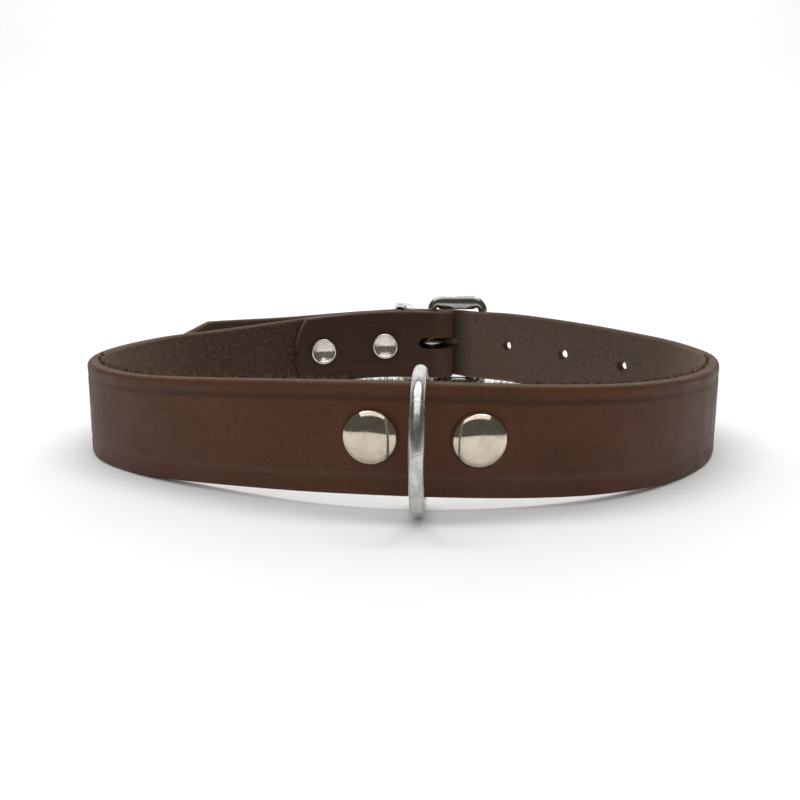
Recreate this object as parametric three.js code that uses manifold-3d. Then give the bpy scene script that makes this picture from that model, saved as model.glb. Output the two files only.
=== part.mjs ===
// A leather dog collar, buckled into a loop and standing on its edge.
// Millimetres, +Z up. The ring faces -Y and the buckle is at the back.
import * as THREE from 'three';
import Module from 'manifold-3d';
import { mergeVertices } from 'three/addons/utils/BufferGeometryUtils.js';

const wasm = await Module();
wasm.setup();

// The leather strip
const STRAP_WIDTH = 25.4;
const STRAP_THICKNESS = 3.5;
const EDGE_BEVEL = 1.1;
const LOOP_WIDTH = 183;
const LOOP_DEPTH = 156.6;
const LAYER_GAP = 0.3;
const FLAP_LENGTH = 56;
const FLAP_END_BULGE = 4.5;
const FOLD_SLACK = 3;
const FOLD_TAPER = 26;
const CROSSING_CLEAR = 1.8;
const TAIL_LENGTH = 116.4;
const TIP_LENGTH = 22;
const TIP_BLUNT = 6;
const TIP_ROUND = 3;
const TAIL_FLARE = 3;
const TAIL_DROP = 3.1;
const TAIL_DROP_RUN = 65;

// The punched holes and the slot for the tongue
const HOLE_DIAMETER = 4;
const HOLE_SPACING = 23.1;
const HOLE_LINE_RISE = 0.7;
const HOLES_BEFORE_TONGUE = 3;
const HOLES_PAST_TONGUE = 3;
const TONGUE_HOLE_FROM_BAR = 9.4;
const SLOT_HEIGHT = 4.3;
const SLOT_REACH = 4.8;
const SLOT_OVERCUT = 0.27;

// The buckle
const HEEL_BAR_FROM_START = 3.3;
const BUCKLE_WIRE = 3.4;
const BUCKLE_SIDE_WIDTH = 5.2;
const BUCKLE_REACH = 19;
const BUCKLE_REST_GAP = 0.3;
const BUCKLE_TOP_GAP = 0.6;
const BUCKLE_HEEL_CORNER = 2.4;
const BUCKLE_FAR_CORNER = 3.2;
const BUCKLE_SWELL = 4;
const TONGUE_WIRE = 2.4;
const TONGUE_OVERHANG = 1;
const METAL_GAP = 0.3;

// The keeper loop
const KEEPER_WIDTH = 4.2;
const KEEPER_THICKNESS = 1.8;
const KEEPER_FROM_BAR = 8.3;
const KEEPER_SKEW = 5.7;
const KEEPER_GAP = 0.3;

// The ring for a lead
const RING_WIRE = 3.2;
const RING_LEG = 6.1;
const RING_CORNER = 2.4;
const RING_REST_GAP = 0.3;
const RING_TOP_GAP = 0.4;
const RING_BAR_GAP = 0.5;
const RING_OFF_MIDDLE = 1;
const RING_TURN_DEG = 1.4;

// The rivets
const FRONT_RIVET_SPACING = 23.7;
const REAR_RIVET_SPACING = 26.2;
const REAR_RIVET_FROM_BAR = 18.7;
const REAR_RIVET_DROP = 0.3;
const CAP_DIAMETER = 12.5;
const CAP_RISE = 2.2;
const CAP_EDGE = 0.7;
const HEAD_DIAMETER = 9.6;
const HEAD_RISE = 1.4;
const DISH_DIAMETER = 7.8;
const DISH_DEPTH = 1.8;
const POST_DIAMETER = 3.2;
const POST_IN_CAP = 1;
const POST_CLEARANCE = 0.3;
const SEAT_GAP = 0.3;

// The front stands a little higher left of the ring than right of it, in millimetres
const FRONT_LEAN = 0.65;

// Where the front rivets sit and how far the sagging sides reach, as shares of the loop's length
const ALONG_LOOP = { frontRivets: 0.5297, frontRise: 0.17, backRise: 0.17, backLevel: 0.03 };

// The outer face of the loop from above, from beside the buckle's heel bar round by the left.
// across is a share of LOOP_WIDTH from the middle, back a share of LOOP_DEPTH from the front.
const LOOP_STATIONS = [
  { across: 0.072, back: 0.991 },
  { across: -0.162, back: 0.984 },
  { across: -0.33, back: 0.886 },
  { across: -0.429, back: 0.77 },
  { across: -0.485, back: 0.61 },
  { across: -0.499, back: 0.436 },
  { across: -0.464, back: 0.297 },
  { across: -0.384, back: 0.194 },
  { across: -0.255, back: 0.102 },
  { across: -0.104, back: 0.024 },
  { across: 0.032, back: 0 },
  { across: 0.183, back: 0.028 },
  { across: 0.29, back: 0.088 },
  { across: 0.386, back: 0.188 },
  { across: 0.458, back: 0.315 },
  { across: 0.499, back: 0.496 },
  { across: 0.478, back: 0.649 },
  { across: 0.396, back: 0.762 },
  { across: 0.282, back: 0.858 },
  { across: 0.182, back: 0.94 },
];

// How finely curves are cut into flats
const WIRE_SIDES = 12;
const RIVET_SIDES = 24;
const HOLE_SIDES = 20;
const ARC_STEPS = 6;
const FLAP_STEPS = 14;
const FOLD_STEPS = 12;
const TAPER_STEPS = 8;
const MAIN_STEPS = 88;
const CROSSING_STEPS = 14;
const TAIL_STEPS = 22;
const SHORTEST_STEP = 0.3;
const END_SHARES = [0.02, 0.12, 0.3, 0.6, 1];
const CUT_MARGIN = 1;
const UP = new THREE.Vector3(0, 0, 1);

// Sizes that follow from the ones above
const RING_LIFT = RING_WIRE + RING_REST_GAP;
const BUCKLE_LIFT = BUCKLE_SIDE_WIDTH + BUCKLE_REST_GAP;
const BAR_RADIUS = BUCKLE_WIRE / 2;
const FOLD_HALF_GAP = BAR_RADIUS + METAL_GAP;
const FOLD_RADIUS = FOLD_HALF_GAP + STRAP_THICKNESS / 2;
const FOLD_MIDDLE = -STRAP_THICKNESS - LAYER_GAP / 2;
const TAIL_OVER_FOLD = FOLD_MIDDLE + FOLD_HALF_GAP + 1.5 * STRAP_THICKNESS + LAYER_GAP;
const TONGUE_LINE = BAR_RADIUS + METAL_GAP + TONGUE_WIRE / 2;
const TAIL_END = TAIL_LENGTH - TONGUE_HOLE_FROM_BAR;
const LINE_HEIGHT = STRAP_WIDTH / 2 + HOLE_LINE_RISE;

const smooth = (share) => {
  const t = Math.min(1, Math.max(0, share));
  return t * t * (3 - 2 * t);
};

const steps = (from, to, count) =>
  Array.from({ length: count + 1 }, (_, i) => from + ((to - from) * i) / count);

// Places along the loop's outer face: way is measured from the heel bar round by the left,
// offset outward from that face.
function makeLoop() {
  const points = LOOP_STATIONS.map(
    ({ across, back }) => new THREE.Vector3(across * LOOP_WIDTH, back * LOOP_DEPTH, 0),
  );
  const curve = new THREE.CatmullRomCurve3(points, true, 'centripetal');
  curve.arcLengthDivisions = 2000;
  const length = curve.getLength();
  const share = (way) => ((((way + HEEL_BAR_FROM_START) / length) % 1) + 1) % 1;
  const tangent = (way) => curve.getTangentAt(share(way)).setZ(0).normalize();
  const outward = (way) => {
    const along = tangent(way);
    return new THREE.Vector3(along.y, -along.x, 0);
  };
  const at = (way, offset, height = 0) =>
    curve.getPointAt(share(way)).addScaledVector(outward(way), offset).setZ(height);
  return { length, tangent, outward, at };
}

const loop = makeLoop();
const FRONT_WAY = ALONG_LOOP.frontRivets * loop.length;

// The height of the strip's lower edge: the ring and the buckle hold it up, the sides sag.
function liftAt(way) {
  const toLeft = (FRONT_WAY - way) / loop.length / ALONG_LOOP.frontRise;
  const reach = Math.min(1, Math.abs(toLeft));
  const lean = FRONT_LEAN * Math.sign(toLeft) * Math.sin(Math.PI * reach) * (1 - reach);
  const backMiddle = -BUCKLE_REACH / 2;
  const wrapped = ((way - backMiddle) / loop.length + 1.5) % 1;
  const fromBack = Math.max(0, Math.abs(wrapped - 0.5) - ALONG_LOOP.backLevel);
  const front = 1 - smooth(reach);
  const back = 1 - smooth(fromBack / ALONG_LOOP.backRise);
  return RING_LIFT * front + lean + BUCKLE_LIFT * back;
}

// Half the space between the turned-back end and the strip that it lies on.
function halfGapAt(way) {
  const open = 1 - smooth(way / FOLD_TAPER);
  return LAYER_GAP / 2 + (FOLD_HALF_GAP - LAYER_GAP / 2) * open;
}

// The faces that a rear rivet's cap and head sit on, as offsets.
const rearSeats = (way) => ({
  outer: FOLD_MIDDLE + halfGapAt(way - CAP_DIAMETER / 2) + STRAP_THICKNESS,
  inner: FOLD_MIDDLE - halfGapAt(way - HEAD_DIAMETER / 2) - STRAP_THICKNESS,
});

// The free end sags a little on its way to the tip.
function tailLiftAt(way) {
  return BUCKLE_LIFT - TAIL_DROP * smooth(way / TAIL_DROP_RUN);
}

// It lies over the fold, then over the rear rivets' caps, and stands away at its tip.
function tailOffsetAt(way) {
  const capTop = rearSeats(REAR_RIVET_FROM_BAR).outer + SEAT_GAP + CAP_EDGE + CAP_RISE;
  const overCapsOffset = capTop + SEAT_GAP + STRAP_THICKNESS / 2;
  const lastRivet = REAR_RIVET_FROM_BAR + REAR_RIVET_SPACING;
  const overCaps = smooth(way / (REAR_RIVET_FROM_BAR - CAP_DIAMETER / 2));
  const flare = smooth((way - lastRivet) / (2 * (TAIL_END - lastRivet)));
  return TAIL_OVER_FOLD + (overCapsOffset - TAIL_OVER_FOLD) * overCaps + 2 * TAIL_FLARE * flare;
}

function flapHalfHeight(fromEnd) {
  const full = STRAP_WIDTH / 2;
  const radius = (full * full + FLAP_END_BULGE * FLAP_END_BULGE) / (2 * FLAP_END_BULGE);
  if (fromEnd >= FLAP_END_BULGE) return full;
  return Math.sqrt(radius * radius - (radius - fromEnd) ** 2);
}

function tipHalfHeight(fromEnd) {
  const taper = Math.min(1, fromEnd / TIP_LENGTH);
  const straight = TIP_BLUNT / 2 + ((STRAP_WIDTH - TIP_BLUNT) / 2) * taper;
  const round = Math.min(1, fromEnd / TIP_ROUND);
  return straight * Math.sqrt(1 - (1 - round) ** 2);
}

// The middle line of the strip, from the turned-back end to the tip of the free end.
function makeRoute() {
  const full = STRAP_WIDTH / 2;
  const stops = [];
  const add = (part, way, point, lift, half = full) => {
    stops.push({ part, way, centre: point.setZ(lift + full), half });
  };
  const flapWays = [
    ...END_SHARES.slice(0, -1).map((share) => FLAP_LENGTH - FLAP_END_BULGE * share),
    ...steps(FLAP_LENGTH - FLAP_END_BULGE, -FOLD_SLACK, FLAP_STEPS),
  ];
  for (const way of flapWays) {
    const offset = FOLD_MIDDLE - halfGapAt(way) - STRAP_THICKNESS / 2;
    add('flap', way, loop.at(way, offset), liftAt(way), flapHalfHeight(FLAP_LENGTH - way));
  }
  const turningPoint = loop.at(-FOLD_SLACK, FOLD_MIDDLE);
  for (const turn of steps(0, Math.PI, FOLD_STEPS).slice(1, -1)) {
    const point = turningPoint.clone();
    point.addScaledVector(loop.tangent(-FOLD_SLACK), -FOLD_RADIUS * Math.sin(turn));
    point.addScaledVector(loop.outward(-FOLD_SLACK), -FOLD_RADIUS * Math.cos(turn));
    add('fold', -FOLD_SLACK, point, liftAt(-FOLD_SLACK));
  }
  const farBar = loop.length - BUCKLE_REACH;
  const mainWays = [
    ...steps(-FOLD_SLACK, FOLD_TAPER, TAPER_STEPS),
    ...steps(FOLD_TAPER, farBar, MAIN_STEPS).slice(1),
  ];
  for (const way of mainWays) {
    const offset = FOLD_MIDDLE + halfGapAt(way) + STRAP_THICKNESS / 2;
    add('main', way, loop.at(way, offset), liftAt(way));
  }
  const crossingEnd = loop.length - FOLD_SLACK - CROSSING_CLEAR;
  for (const way of steps(farBar, crossingEnd, CROSSING_STEPS).slice(1)) {
    const share = smooth((way - farBar) / (crossingEnd - farBar));
    const offset = -STRAP_THICKNESS / 2 + (TAIL_OVER_FOLD + STRAP_THICKNESS / 2) * share;
    add('crossing', way, loop.at(way, offset), liftAt(way));
  }
  const tailWays = [
    ...steps(-FOLD_SLACK, TAIL_END - TIP_LENGTH, TAIL_STEPS),
    ...steps(TAIL_END - TIP_LENGTH, TAIL_END - TIP_ROUND, TAPER_STEPS).slice(1, -1),
    ...END_SHARES.map((share) => TAIL_END - TIP_ROUND * share).reverse(),
  ];
  for (const way of tailWays) {
    const point = loop.at(way, tailOffsetAt(way));
    add('tail', loop.length + way, point, tailLiftAt(way), tipHalfHeight(TAIL_END - way));
  }
  let run = 0;
  stops.forEach((stop, i) => {
    const before = stops[Math.max(0, i - 1)].centre;
    const after = stops[Math.min(stops.length - 1, i + 1)].centre;
    const along = after.clone().sub(before).setZ(0).normalize();
    stop.grain = new THREE.Vector3(along.y, -along.x, 0);
    if (i > 0) run += stop.centre.distanceTo(before);
    stop.run = run;
  });
  return stops;
}

const route = makeRoute();

// The place on the strip at a length measured along the leather.
function routeAt(run) {
  const next = Math.max(1, route.findIndex((stop) => stop.run >= run));
  const a = route[next - 1];
  const b = route[next];
  const share = (run - a.run) / (b.run - a.run);
  return {
    run,
    centre: a.centre.clone().lerp(b.centre, share),
    grain: a.grain.clone().lerp(b.grain, share).normalize(),
    half: THREE.MathUtils.lerp(a.half, b.half, share),
  };
}

// The length along the leather at which a part of the route reaches a way round the loop.
function runAt(part, way) {
  const stops = route.filter((stop) => stop.part === part);
  const rising = stops[stops.length - 1].way > stops[0].way;
  const next = stops.findIndex((stop) => (rising ? stop.way >= way : stop.way <= way));
  const a = stops[next - 1];
  const b = stops[next];
  return a.run + ((b.run - a.run) * (way - a.way)) / (b.way - a.way);
}

// One closed body: shared corners merged, no empty triangles, faces pointing out.
function closed(geometry) {
  const bare = geometry.clone();
  bare.deleteAttribute('normal');
  bare.deleteAttribute('uv');
  const merged = mergeVertices(bare, 1e-4);
  const position = merged.getAttribute('position');
  const index = merged.getIndex().array;
  const kept = [];
  let volume = 0;
  const [a, b, c] = [new THREE.Vector3(), new THREE.Vector3(), new THREE.Vector3()];
  for (let i = 0; i < index.length; i += 3) {
    const corners = [index[i], index[i + 1], index[i + 2]];
    if (new Set(corners).size < 3) continue;
    kept.push(corners);
    a.fromBufferAttribute(position, corners[0]);
    b.fromBufferAttribute(position, corners[1]);
    c.fromBufferAttribute(position, corners[2]);
    volume += a.dot(b.cross(c));
  }
  const turned = volume < 0 ? kept.map(([p, q, r]) => [p, r, q]) : kept;
  merged.setIndex(turned.flat());
  return merged;
}

function toManifold(geometry) {
  const body = closed(geometry);
  return new wasm.Manifold(new wasm.Mesh({
    numProp: 3,
    vertProperties: new Float32Array(body.getAttribute('position').array),
    triVerts: new Uint32Array(body.getIndex().array),
  }));
}

function fromManifold(solid) {
  const mesh = solid.getMesh();
  const geometry = new THREE.BufferGeometry();
  geometry.setAttribute('position', new THREE.BufferAttribute(mesh.vertProperties, 3));
  geometry.setIndex(new THREE.BufferAttribute(mesh.triVerts, 1));
  return geometry;
}

// Rings of points joined into a skin. An open skin gets flat ends.
function loft(rings, joined) {
  const count = rings[0].length;
  const corners = rings.flat().flatMap((point) => [point.x, point.y, point.z]);
  const index = [];
  const last = joined ? rings.length : rings.length - 1;
  for (let i = 0; i < last; i += 1) {
    const near = i * count;
    const far = ((i + 1) % rings.length) * count;
    for (let j = 0; j < count; j += 1) {
      const k = (j + 1) % count;
      index.push(near + j, far + j, far + k, near + j, far + k, near + k);
    }
  }
  if (!joined) {
    const end = (rings.length - 1) * count;
    for (let j = 1; j < count - 1; j += 1) {
      index.push(0, j, j + 1, end, end + j + 1, end + j);
    }
  }
  const geometry = new THREE.BufferGeometry();
  geometry.setAttribute('position', new THREE.Float32BufferAttribute(corners, 3));
  geometry.setIndex(index);
  return geometry;
}

// The strip's section at one stop: square on the flesh side, bevelled on the grain side.
function stripSection(stop, half, thickness, bevel) {
  const cut = Math.min(bevel, half / 3);
  const soft = cut * (1 - Math.SQRT1_2);
  const grain = thickness / 2;
  const outline = [
    [-grain, -half],
    [grain - cut, -half],
    [grain - soft, soft - half],
    [grain, cut - half],
    [grain, half - cut],
    [grain - soft, half - soft],
    [grain - cut, half],
    [-grain, half],
  ];
  return outline.map(([out, rise]) =>
    stop.centre.clone().addScaledVector(stop.grain, out).addScaledVector(UP, rise));
}

function rod(from, to, radius, sides) {
  const length = from.distanceTo(to);
  const geometry = new THREE.CylinderGeometry(radius, radius, length, sides);
  const direction = to.clone().sub(from).normalize();
  const turn = new THREE.Quaternion().setFromUnitVectors(new THREE.Vector3(0, 1, 0), direction);
  geometry.applyQuaternion(turn);
  geometry.translate(...from.clone().lerp(to, 0.5).toArray());
  return geometry;
}

// A hole through one layer of leather, square to it.
function punch(stop, radius, reach = STRAP_THICKNESS / 2 + CUT_MARGIN) {
  const inner = stop.centre.clone().addScaledVector(stop.grain, -reach);
  const outer = stop.centre.clone().addScaledVector(stop.grain, reach);
  return rod(inner, outer, radius, HOLE_SIDES);
}

// The same place, on the line of the holes.
const onHoleLine = (stop) => ({
  ...stop,
  centre: stop.centre.clone().addScaledVector(UP, HOLE_LINE_RISE),
});

// The slot follows the leather round the fold, with a round end on each side.
function slotCutters() {
  const radius = SLOT_HEIGHT / 2;
  const start = runAt('flap', SLOT_REACH - radius);
  const end = runAt('main', SLOT_REACH - radius);
  const inside = route.filter((stop) => stop.run > start && stop.run < end);
  const thickness = STRAP_THICKNESS + SLOT_OVERCUT;
  const rings = [routeAt(start), ...inside, routeAt(end)].map((stop) =>
    stripSection(onHoleLine(stop), radius, thickness, 0));
  const ends = [start, end].map((run) =>
    punch(onHoleLine(routeAt(run)), radius, thickness / 2));
  return [loft(rings, false), ...ends];
}

// Where each rivet goes: its way round the loop, its rise on the strip, and its seats as offsets.
const frontSeats = { rise: LINE_HEIGHT, outer: 0, inner: -STRAP_THICKNESS };
const rearRise = STRAP_WIDTH / 2 - REAR_RIVET_DROP;
const RIVETS = [
  { name: 'front', side: 'left', way: FRONT_WAY - FRONT_RIVET_SPACING / 2, ...frontSeats },
  { name: 'front', side: 'right', way: FRONT_WAY + FRONT_RIVET_SPACING / 2, ...frontSeats },
  rearRivet('left', REAR_RIVET_FROM_BAR + REAR_RIVET_SPACING),
  rearRivet('right', REAR_RIVET_FROM_BAR),
];

function rearRivet(side, way) {
  return { name: 'rear', side, way, rise: rearRise, ...rearSeats(way) };
}

function rivetHole({ way, rise, outer, inner }) {
  const height = liftAt(way) + rise;
  const from = loop.at(way, inner - CUT_MARGIN, height);
  const to = loop.at(way, outer + CUT_MARGIN, height);
  return rod(from, to, POST_DIAMETER / 2 + POST_CLEARANCE, HOLE_SIDES);
}

// The buckle's own frame: X from the heel bar to the far bar, Y outward, Z up.
const heelBar = loop.at(0, FOLD_MIDDLE);
const farBar = loop.at(-BUCKLE_REACH, METAL_GAP + BAR_RADIUS);
const buckleSpan = farBar.distanceTo(heelBar);
const tongueHeight = BUCKLE_LIFT + LINE_HEIGHT;
const tongueTip = buckleSpan + TONGUE_OVERHANG;

function buckleGroup() {
  const group = new THREE.Group();
  group.position.copy(heelBar);
  group.rotation.z = Math.atan2(farBar.y - heelBar.y, farBar.x - heelBar.x);
  group.updateMatrixWorld();
  return group;
}

// A rod with a round tip along the tongue's line, in the buckle's frame.
function tongueShaft(radius, tip) {
  const profile = [new THREE.Vector2(0, 0), new THREE.Vector2(radius, 0)];
  for (const turn of steps(0, Math.PI / 2, 5)) {
    profile.push(new THREE.Vector2(radius * Math.cos(turn), tip + radius * Math.sin(turn)));
  }
  profile[profile.length - 1].x = 0;
  const shaft = new THREE.LatheGeometry(profile, WIRE_SIDES);
  shaft.rotateZ(-Math.PI / 2);
  shaft.translate(0, TONGUE_LINE, tongueHeight);
  return shaft;
}

function makeStrap(buckle) {
  const rings = route.map((stop) =>
    stripSection(stop, stop.half, STRAP_THICKNESS, EDGE_BEVEL));
  const tongueRun = runAt('crossing', loop.length - TONGUE_HOLE_FROM_BAR);
  const cutters = [...slotCutters(), ...RIVETS.map(rivetHole)];
  for (let i = -HOLES_BEFORE_TONGUE; i <= HOLES_PAST_TONGUE; i += 1) {
    const stop = onHoleLine(routeAt(tongueRun + i * HOLE_SPACING));
    cutters.push(punch(stop, HOLE_DIAMETER / 2));
  }
  const tongueWay = tongueShaft(TONGUE_WIRE / 2 + METAL_GAP, tongueTip);
  cutters.push(tongueWay.applyMatrix4(buckle.matrixWorld));
  let solid = toManifold(loft(rings, false));
  for (const cutter of cutters) solid = solid.subtract(toManifold(cutter));
  return fromManifold(solid);
}

// A wire bent along a flat closed outline. side is the direction square to that plane, and
// widthAt gives the wire's half width in that plane, where it isn't round.
function bentWire(points, side, radius, widthAt = () => radius) {
  const rings = points.map((point, i) => {
    const before = points[(i + points.length - 1) % points.length];
    const after = points[(i + 1) % points.length];
    const across = after.clone().sub(before).normalize().cross(side);
    return steps(0, 2 * Math.PI, WIRE_SIDES).slice(0, -1).map((turn) =>
      point.clone()
        .addScaledVector(across, widthAt(point) * Math.cos(turn))
        .addScaledVector(side, radius * Math.sin(turn)));
  });
  return closed(loft(rings, true));
}

function outlinePoints(path, toSpace) {
  const points = path.getPoints(ARC_STEPS).map(toSpace);
  return points.filter((point, i) =>
    point.distanceTo(points[(i + 1) % points.length]) > SHORTEST_STEP);
}

// The two bars are round, and the sides between them swell towards their middle.
function makeBuckleFrame() {
  const halfSide = BUCKLE_SIDE_WIDTH / 2;
  const bottom = halfSide;
  const top = BUCKLE_LIFT + STRAP_WIDTH + BUCKLE_TOP_GAP + halfSide;
  const [heel, far] = [BUCKLE_HEEL_CORNER, BUCKLE_FAR_CORNER];
  const quarter = Math.PI / 2;
  const path = new THREE.Path();
  path.moveTo(heel, bottom);
  for (const x of steps(heel, buckleSpan - far, ARC_STEPS).slice(1)) path.lineTo(x, bottom);
  path.absarc(buckleSpan - far, bottom + far, far, -quarter, 0, false);
  path.lineTo(buckleSpan, top - far);
  path.absarc(buckleSpan - far, top - far, far, 0, quarter, false);
  for (const x of steps(buckleSpan - far, heel, ARC_STEPS).slice(1)) path.lineTo(x, top);
  path.absarc(heel, top - heel, heel, quarter, 2 * quarter, false);
  path.lineTo(0, bottom + heel);
  path.absarc(heel, bottom + heel, heel, 2 * quarter, 3 * quarter, false);
  const points = outlinePoints(path, (point) => new THREE.Vector3(point.x, 0, point.y));
  const widthAt = ({ x }) => {
    const fromBar = Math.min(x, buckleSpan - x);
    return BAR_RADIUS + (halfSide - BAR_RADIUS) * smooth(fromBar / BUCKLE_SWELL);
  };
  return bentWire(points, new THREE.Vector3(0, 1, 0), BAR_RADIUS, widthAt);
}

function makeTongue() {
  const eye = new THREE.TorusGeometry(TONGUE_LINE, TONGUE_WIRE / 2, WIRE_SIDES, RIVET_SIDES);
  eye.translate(0, 0, tongueHeight);
  const shaft = tongueShaft(TONGUE_WIRE / 2, tongueTip);
  return fromManifold(toManifold(eye).add(toManifold(shaft)));
}

// A flat band round the outer layer and the free end, skewed along the strip.
function makeKeeper() {
  const way = KEEPER_FROM_BAR;
  const farEdge = way + KEEPER_SKEW + KEEPER_WIDTH / 2;
  const outerFace = tailOffsetAt(farEdge) + STRAP_THICKNESS / 2;
  const inner = FOLD_MIDDLE - KEEPER_THICKNESS / 2;
  const outer = outerFace + KEEPER_GAP + KEEPER_THICKNESS;
  const lowest = tailLiftAt(farEdge) - KEEPER_GAP - KEEPER_THICKNESS;
  const highest = BUCKLE_LIFT + STRAP_WIDTH + KEEPER_GAP + KEEPER_THICKNESS;
  const band = roundedBox(inner, lowest, outer, highest, 1.5 * KEEPER_THICKNESS);
  band.holes.push(roundedBox(
    inner + KEEPER_THICKNESS,
    lowest + KEEPER_THICKNESS,
    outer - KEEPER_THICKNESS,
    highest - KEEPER_THICKNESS,
    KEEPER_THICKNESS / 2,
  ));
  const geometry = new THREE.ExtrudeGeometry(band, {
    depth: KEEPER_WIDTH,
    bevelEnabled: false,
    curveSegments: ARC_STEPS / 2,
  });
  const position = geometry.getAttribute('position');
  for (let i = 0; i < position.count; i += 1) {
    const offset = position.getX(i);
    const share = (offset - inner) / (outer - inner);
    const along = position.getZ(i) - KEEPER_WIDTH / 2 + share * KEEPER_SKEW;
    position.setXYZ(i, along, offset, position.getY(i));
  }
  return closed(geometry);
}

function roundedBox(left, bottom, right, top, radius) {
  const quarter = Math.PI / 2;
  const shape = new THREE.Shape();
  shape.moveTo(left + radius, bottom);
  shape.lineTo(right - radius, bottom);
  shape.absarc(right - radius, bottom + radius, radius, -quarter, 0, false);
  shape.lineTo(right, top - radius);
  shape.absarc(right - radius, top - radius, radius, 0, quarter, false);
  shape.lineTo(left + radius, top);
  shape.absarc(left + radius, top - radius, radius, quarter, 2 * quarter, false);
  shape.lineTo(left, bottom + radius);
  shape.absarc(left + radius, bottom + radius, radius, 2 * quarter, 3 * quarter, false);
  return shape;
}

// The ring in its own frame: Y outward from its bar, Z up. A straight bar, two legs, a bow.
function makeRing() {
  const radius = RING_WIRE / 2;
  const bottom = radius;
  const top = RING_LIFT + STRAP_WIDTH + RING_TOP_GAP + radius;
  const bow = (top - bottom) / 2;
  const quarter = Math.PI / 2;
  const path = new THREE.Path();
  path.moveTo(0, top - RING_CORNER);
  path.lineTo(0, bottom + RING_CORNER);
  path.absarc(RING_CORNER, bottom + RING_CORNER, RING_CORNER, 2 * quarter, 3 * quarter, false);
  path.lineTo(RING_LEG, bottom);
  for (const turn of steps(-quarter, quarter, 4 * ARC_STEPS).slice(1)) {
    path.lineTo(RING_LEG + bow * Math.cos(turn), bottom + bow + bow * Math.sin(turn));
  }
  path.lineTo(RING_CORNER, top);
  path.absarc(RING_CORNER, top - RING_CORNER, RING_CORNER, quarter, 2 * quarter, false);
  const points = outlinePoints(path, (point) => new THREE.Vector3(0, point.x, point.y));
  return bentWire(points, new THREE.Vector3(1, 0, 0), radius);
}

// The caps and posts turn on Y, which points away from the leather.
function makeCap() {
  const radius = CAP_DIAMETER / 2;
  const socket = POST_DIAMETER / 2 + POST_CLEARANCE;
  const depth = POST_IN_CAP + POST_CLEARANCE;
  const profile = [
    new THREE.Vector2(0, depth),
    new THREE.Vector2(socket, depth),
    new THREE.Vector2(socket, 0),
    new THREE.Vector2(radius - CAP_EDGE / 3, 0),
    new THREE.Vector2(radius, CAP_EDGE / 2),
  ];
  for (const turn of steps(0, Math.PI / 2, 7)) {
    const out = (radius - CAP_EDGE / 5) * Math.cos(turn);
    profile.push(new THREE.Vector2(out, CAP_EDGE + CAP_RISE * Math.sin(turn) ** 1.2));
  }
  profile[profile.length - 1].x = 0;
  return closed(new THREE.LatheGeometry(profile, RIVET_SIDES));
}

function makePost(grip) {
  const shank = POST_DIAMETER / 2;
  const rim = HEAD_DIAMETER / 2;
  const profile = [
    new THREE.Vector2(0, HEAD_RISE - DISH_DEPTH),
    new THREE.Vector2(shank * 0.7, HEAD_RISE - DISH_DEPTH * 0.93),
    new THREE.Vector2(DISH_DIAMETER / 2, HEAD_RISE - DISH_DEPTH * 0.06),
    new THREE.Vector2((DISH_DIAMETER / 2 + rim) / 2, HEAD_RISE),
    new THREE.Vector2(rim - HEAD_RISE * 0.1, HEAD_RISE * 0.8),
    new THREE.Vector2(rim, HEAD_RISE * 0.4),
    new THREE.Vector2(rim - HEAD_RISE * 0.2, 0),
    new THREE.Vector2(shank, 0),
    new THREE.Vector2(shank, -grip - POST_IN_CAP),
    new THREE.Vector2(0, -grip - POST_IN_CAP),
  ];
  return closed(new THREE.LatheGeometry(profile, RIVET_SIDES));
}

const materials = {
  leather: new THREE.MeshStandardMaterial({ color: 0x46302a, roughness: 0.6, metalness: 0 }),
  nickel: new THREE.MeshStandardMaterial({ color: 0xcfc8bc, roughness: 0.22, metalness: 1 }),
  steel: new THREE.MeshStandardMaterial({ color: 0x9b9a99, roughness: 0.28, metalness: 1 }),
};

function named(name, geometry, material) {
  const mesh = new THREE.Mesh(geometry, material);
  mesh.name = name;
  return mesh;
}

function addRivet(collar, rivet) {
  const { name, side, way, rise, outer, inner } = rivet;
  const height = liftAt(way) + rise;
  const outward = loop.outward(way);
  const inward = outward.clone().negate();
  const y = new THREE.Vector3(0, 1, 0);
  const grip = outer - inner + 2 * SEAT_GAP;
  const cap = named(`${name}_cap_${side}`, makeCap(), materials.nickel);
  cap.position.copy(loop.at(way, outer + SEAT_GAP, height));
  cap.quaternion.setFromUnitVectors(y, outward);
  const post = named(`${name}_post_${side}`, makePost(grip), materials.nickel);
  post.position.copy(loop.at(way, inner - SEAT_GAP, height));
  post.quaternion.setFromUnitVectors(y, inward);
  collar.add(cap, post);
}

function addRing(collar) {
  const way = FRONT_WAY - RING_OFF_MIDDLE;
  const outward = loop.outward(way);
  const holder = new THREE.Group();
  holder.position.copy(loop.at(way, -STRAP_THICKNESS - RING_BAR_GAP - RING_WIRE / 2));
  const turn = THREE.MathUtils.degToRad(RING_TURN_DEG);
  holder.rotation.z = Math.atan2(-outward.x, outward.y) - turn;
  holder.add(named('d_ring', makeRing(), materials.nickel));
  collar.add(holder);
}

function addKeeper(collar) {
  const outward = loop.outward(KEEPER_FROM_BAR);
  const holder = new THREE.Group();
  holder.position.copy(loop.at(KEEPER_FROM_BAR, 0));
  holder.rotation.z = Math.atan2(outward.y, outward.x) - Math.PI / 2;
  const keeper = named('keeper_loop', makeKeeper(), materials.steel);
  keeper.scale.x = -1;
  holder.add(keeper);
  collar.add(holder);
}

// The origin is under the middle of the collar, on the surface that it stands on.
function centred(collar) {
  const box = new THREE.Box3().setFromObject(collar, true);
  const middle = box.getCenter(new THREE.Vector3());
  collar.position.set(-middle.x, -middle.y, 0);
  return collar;
}

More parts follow.
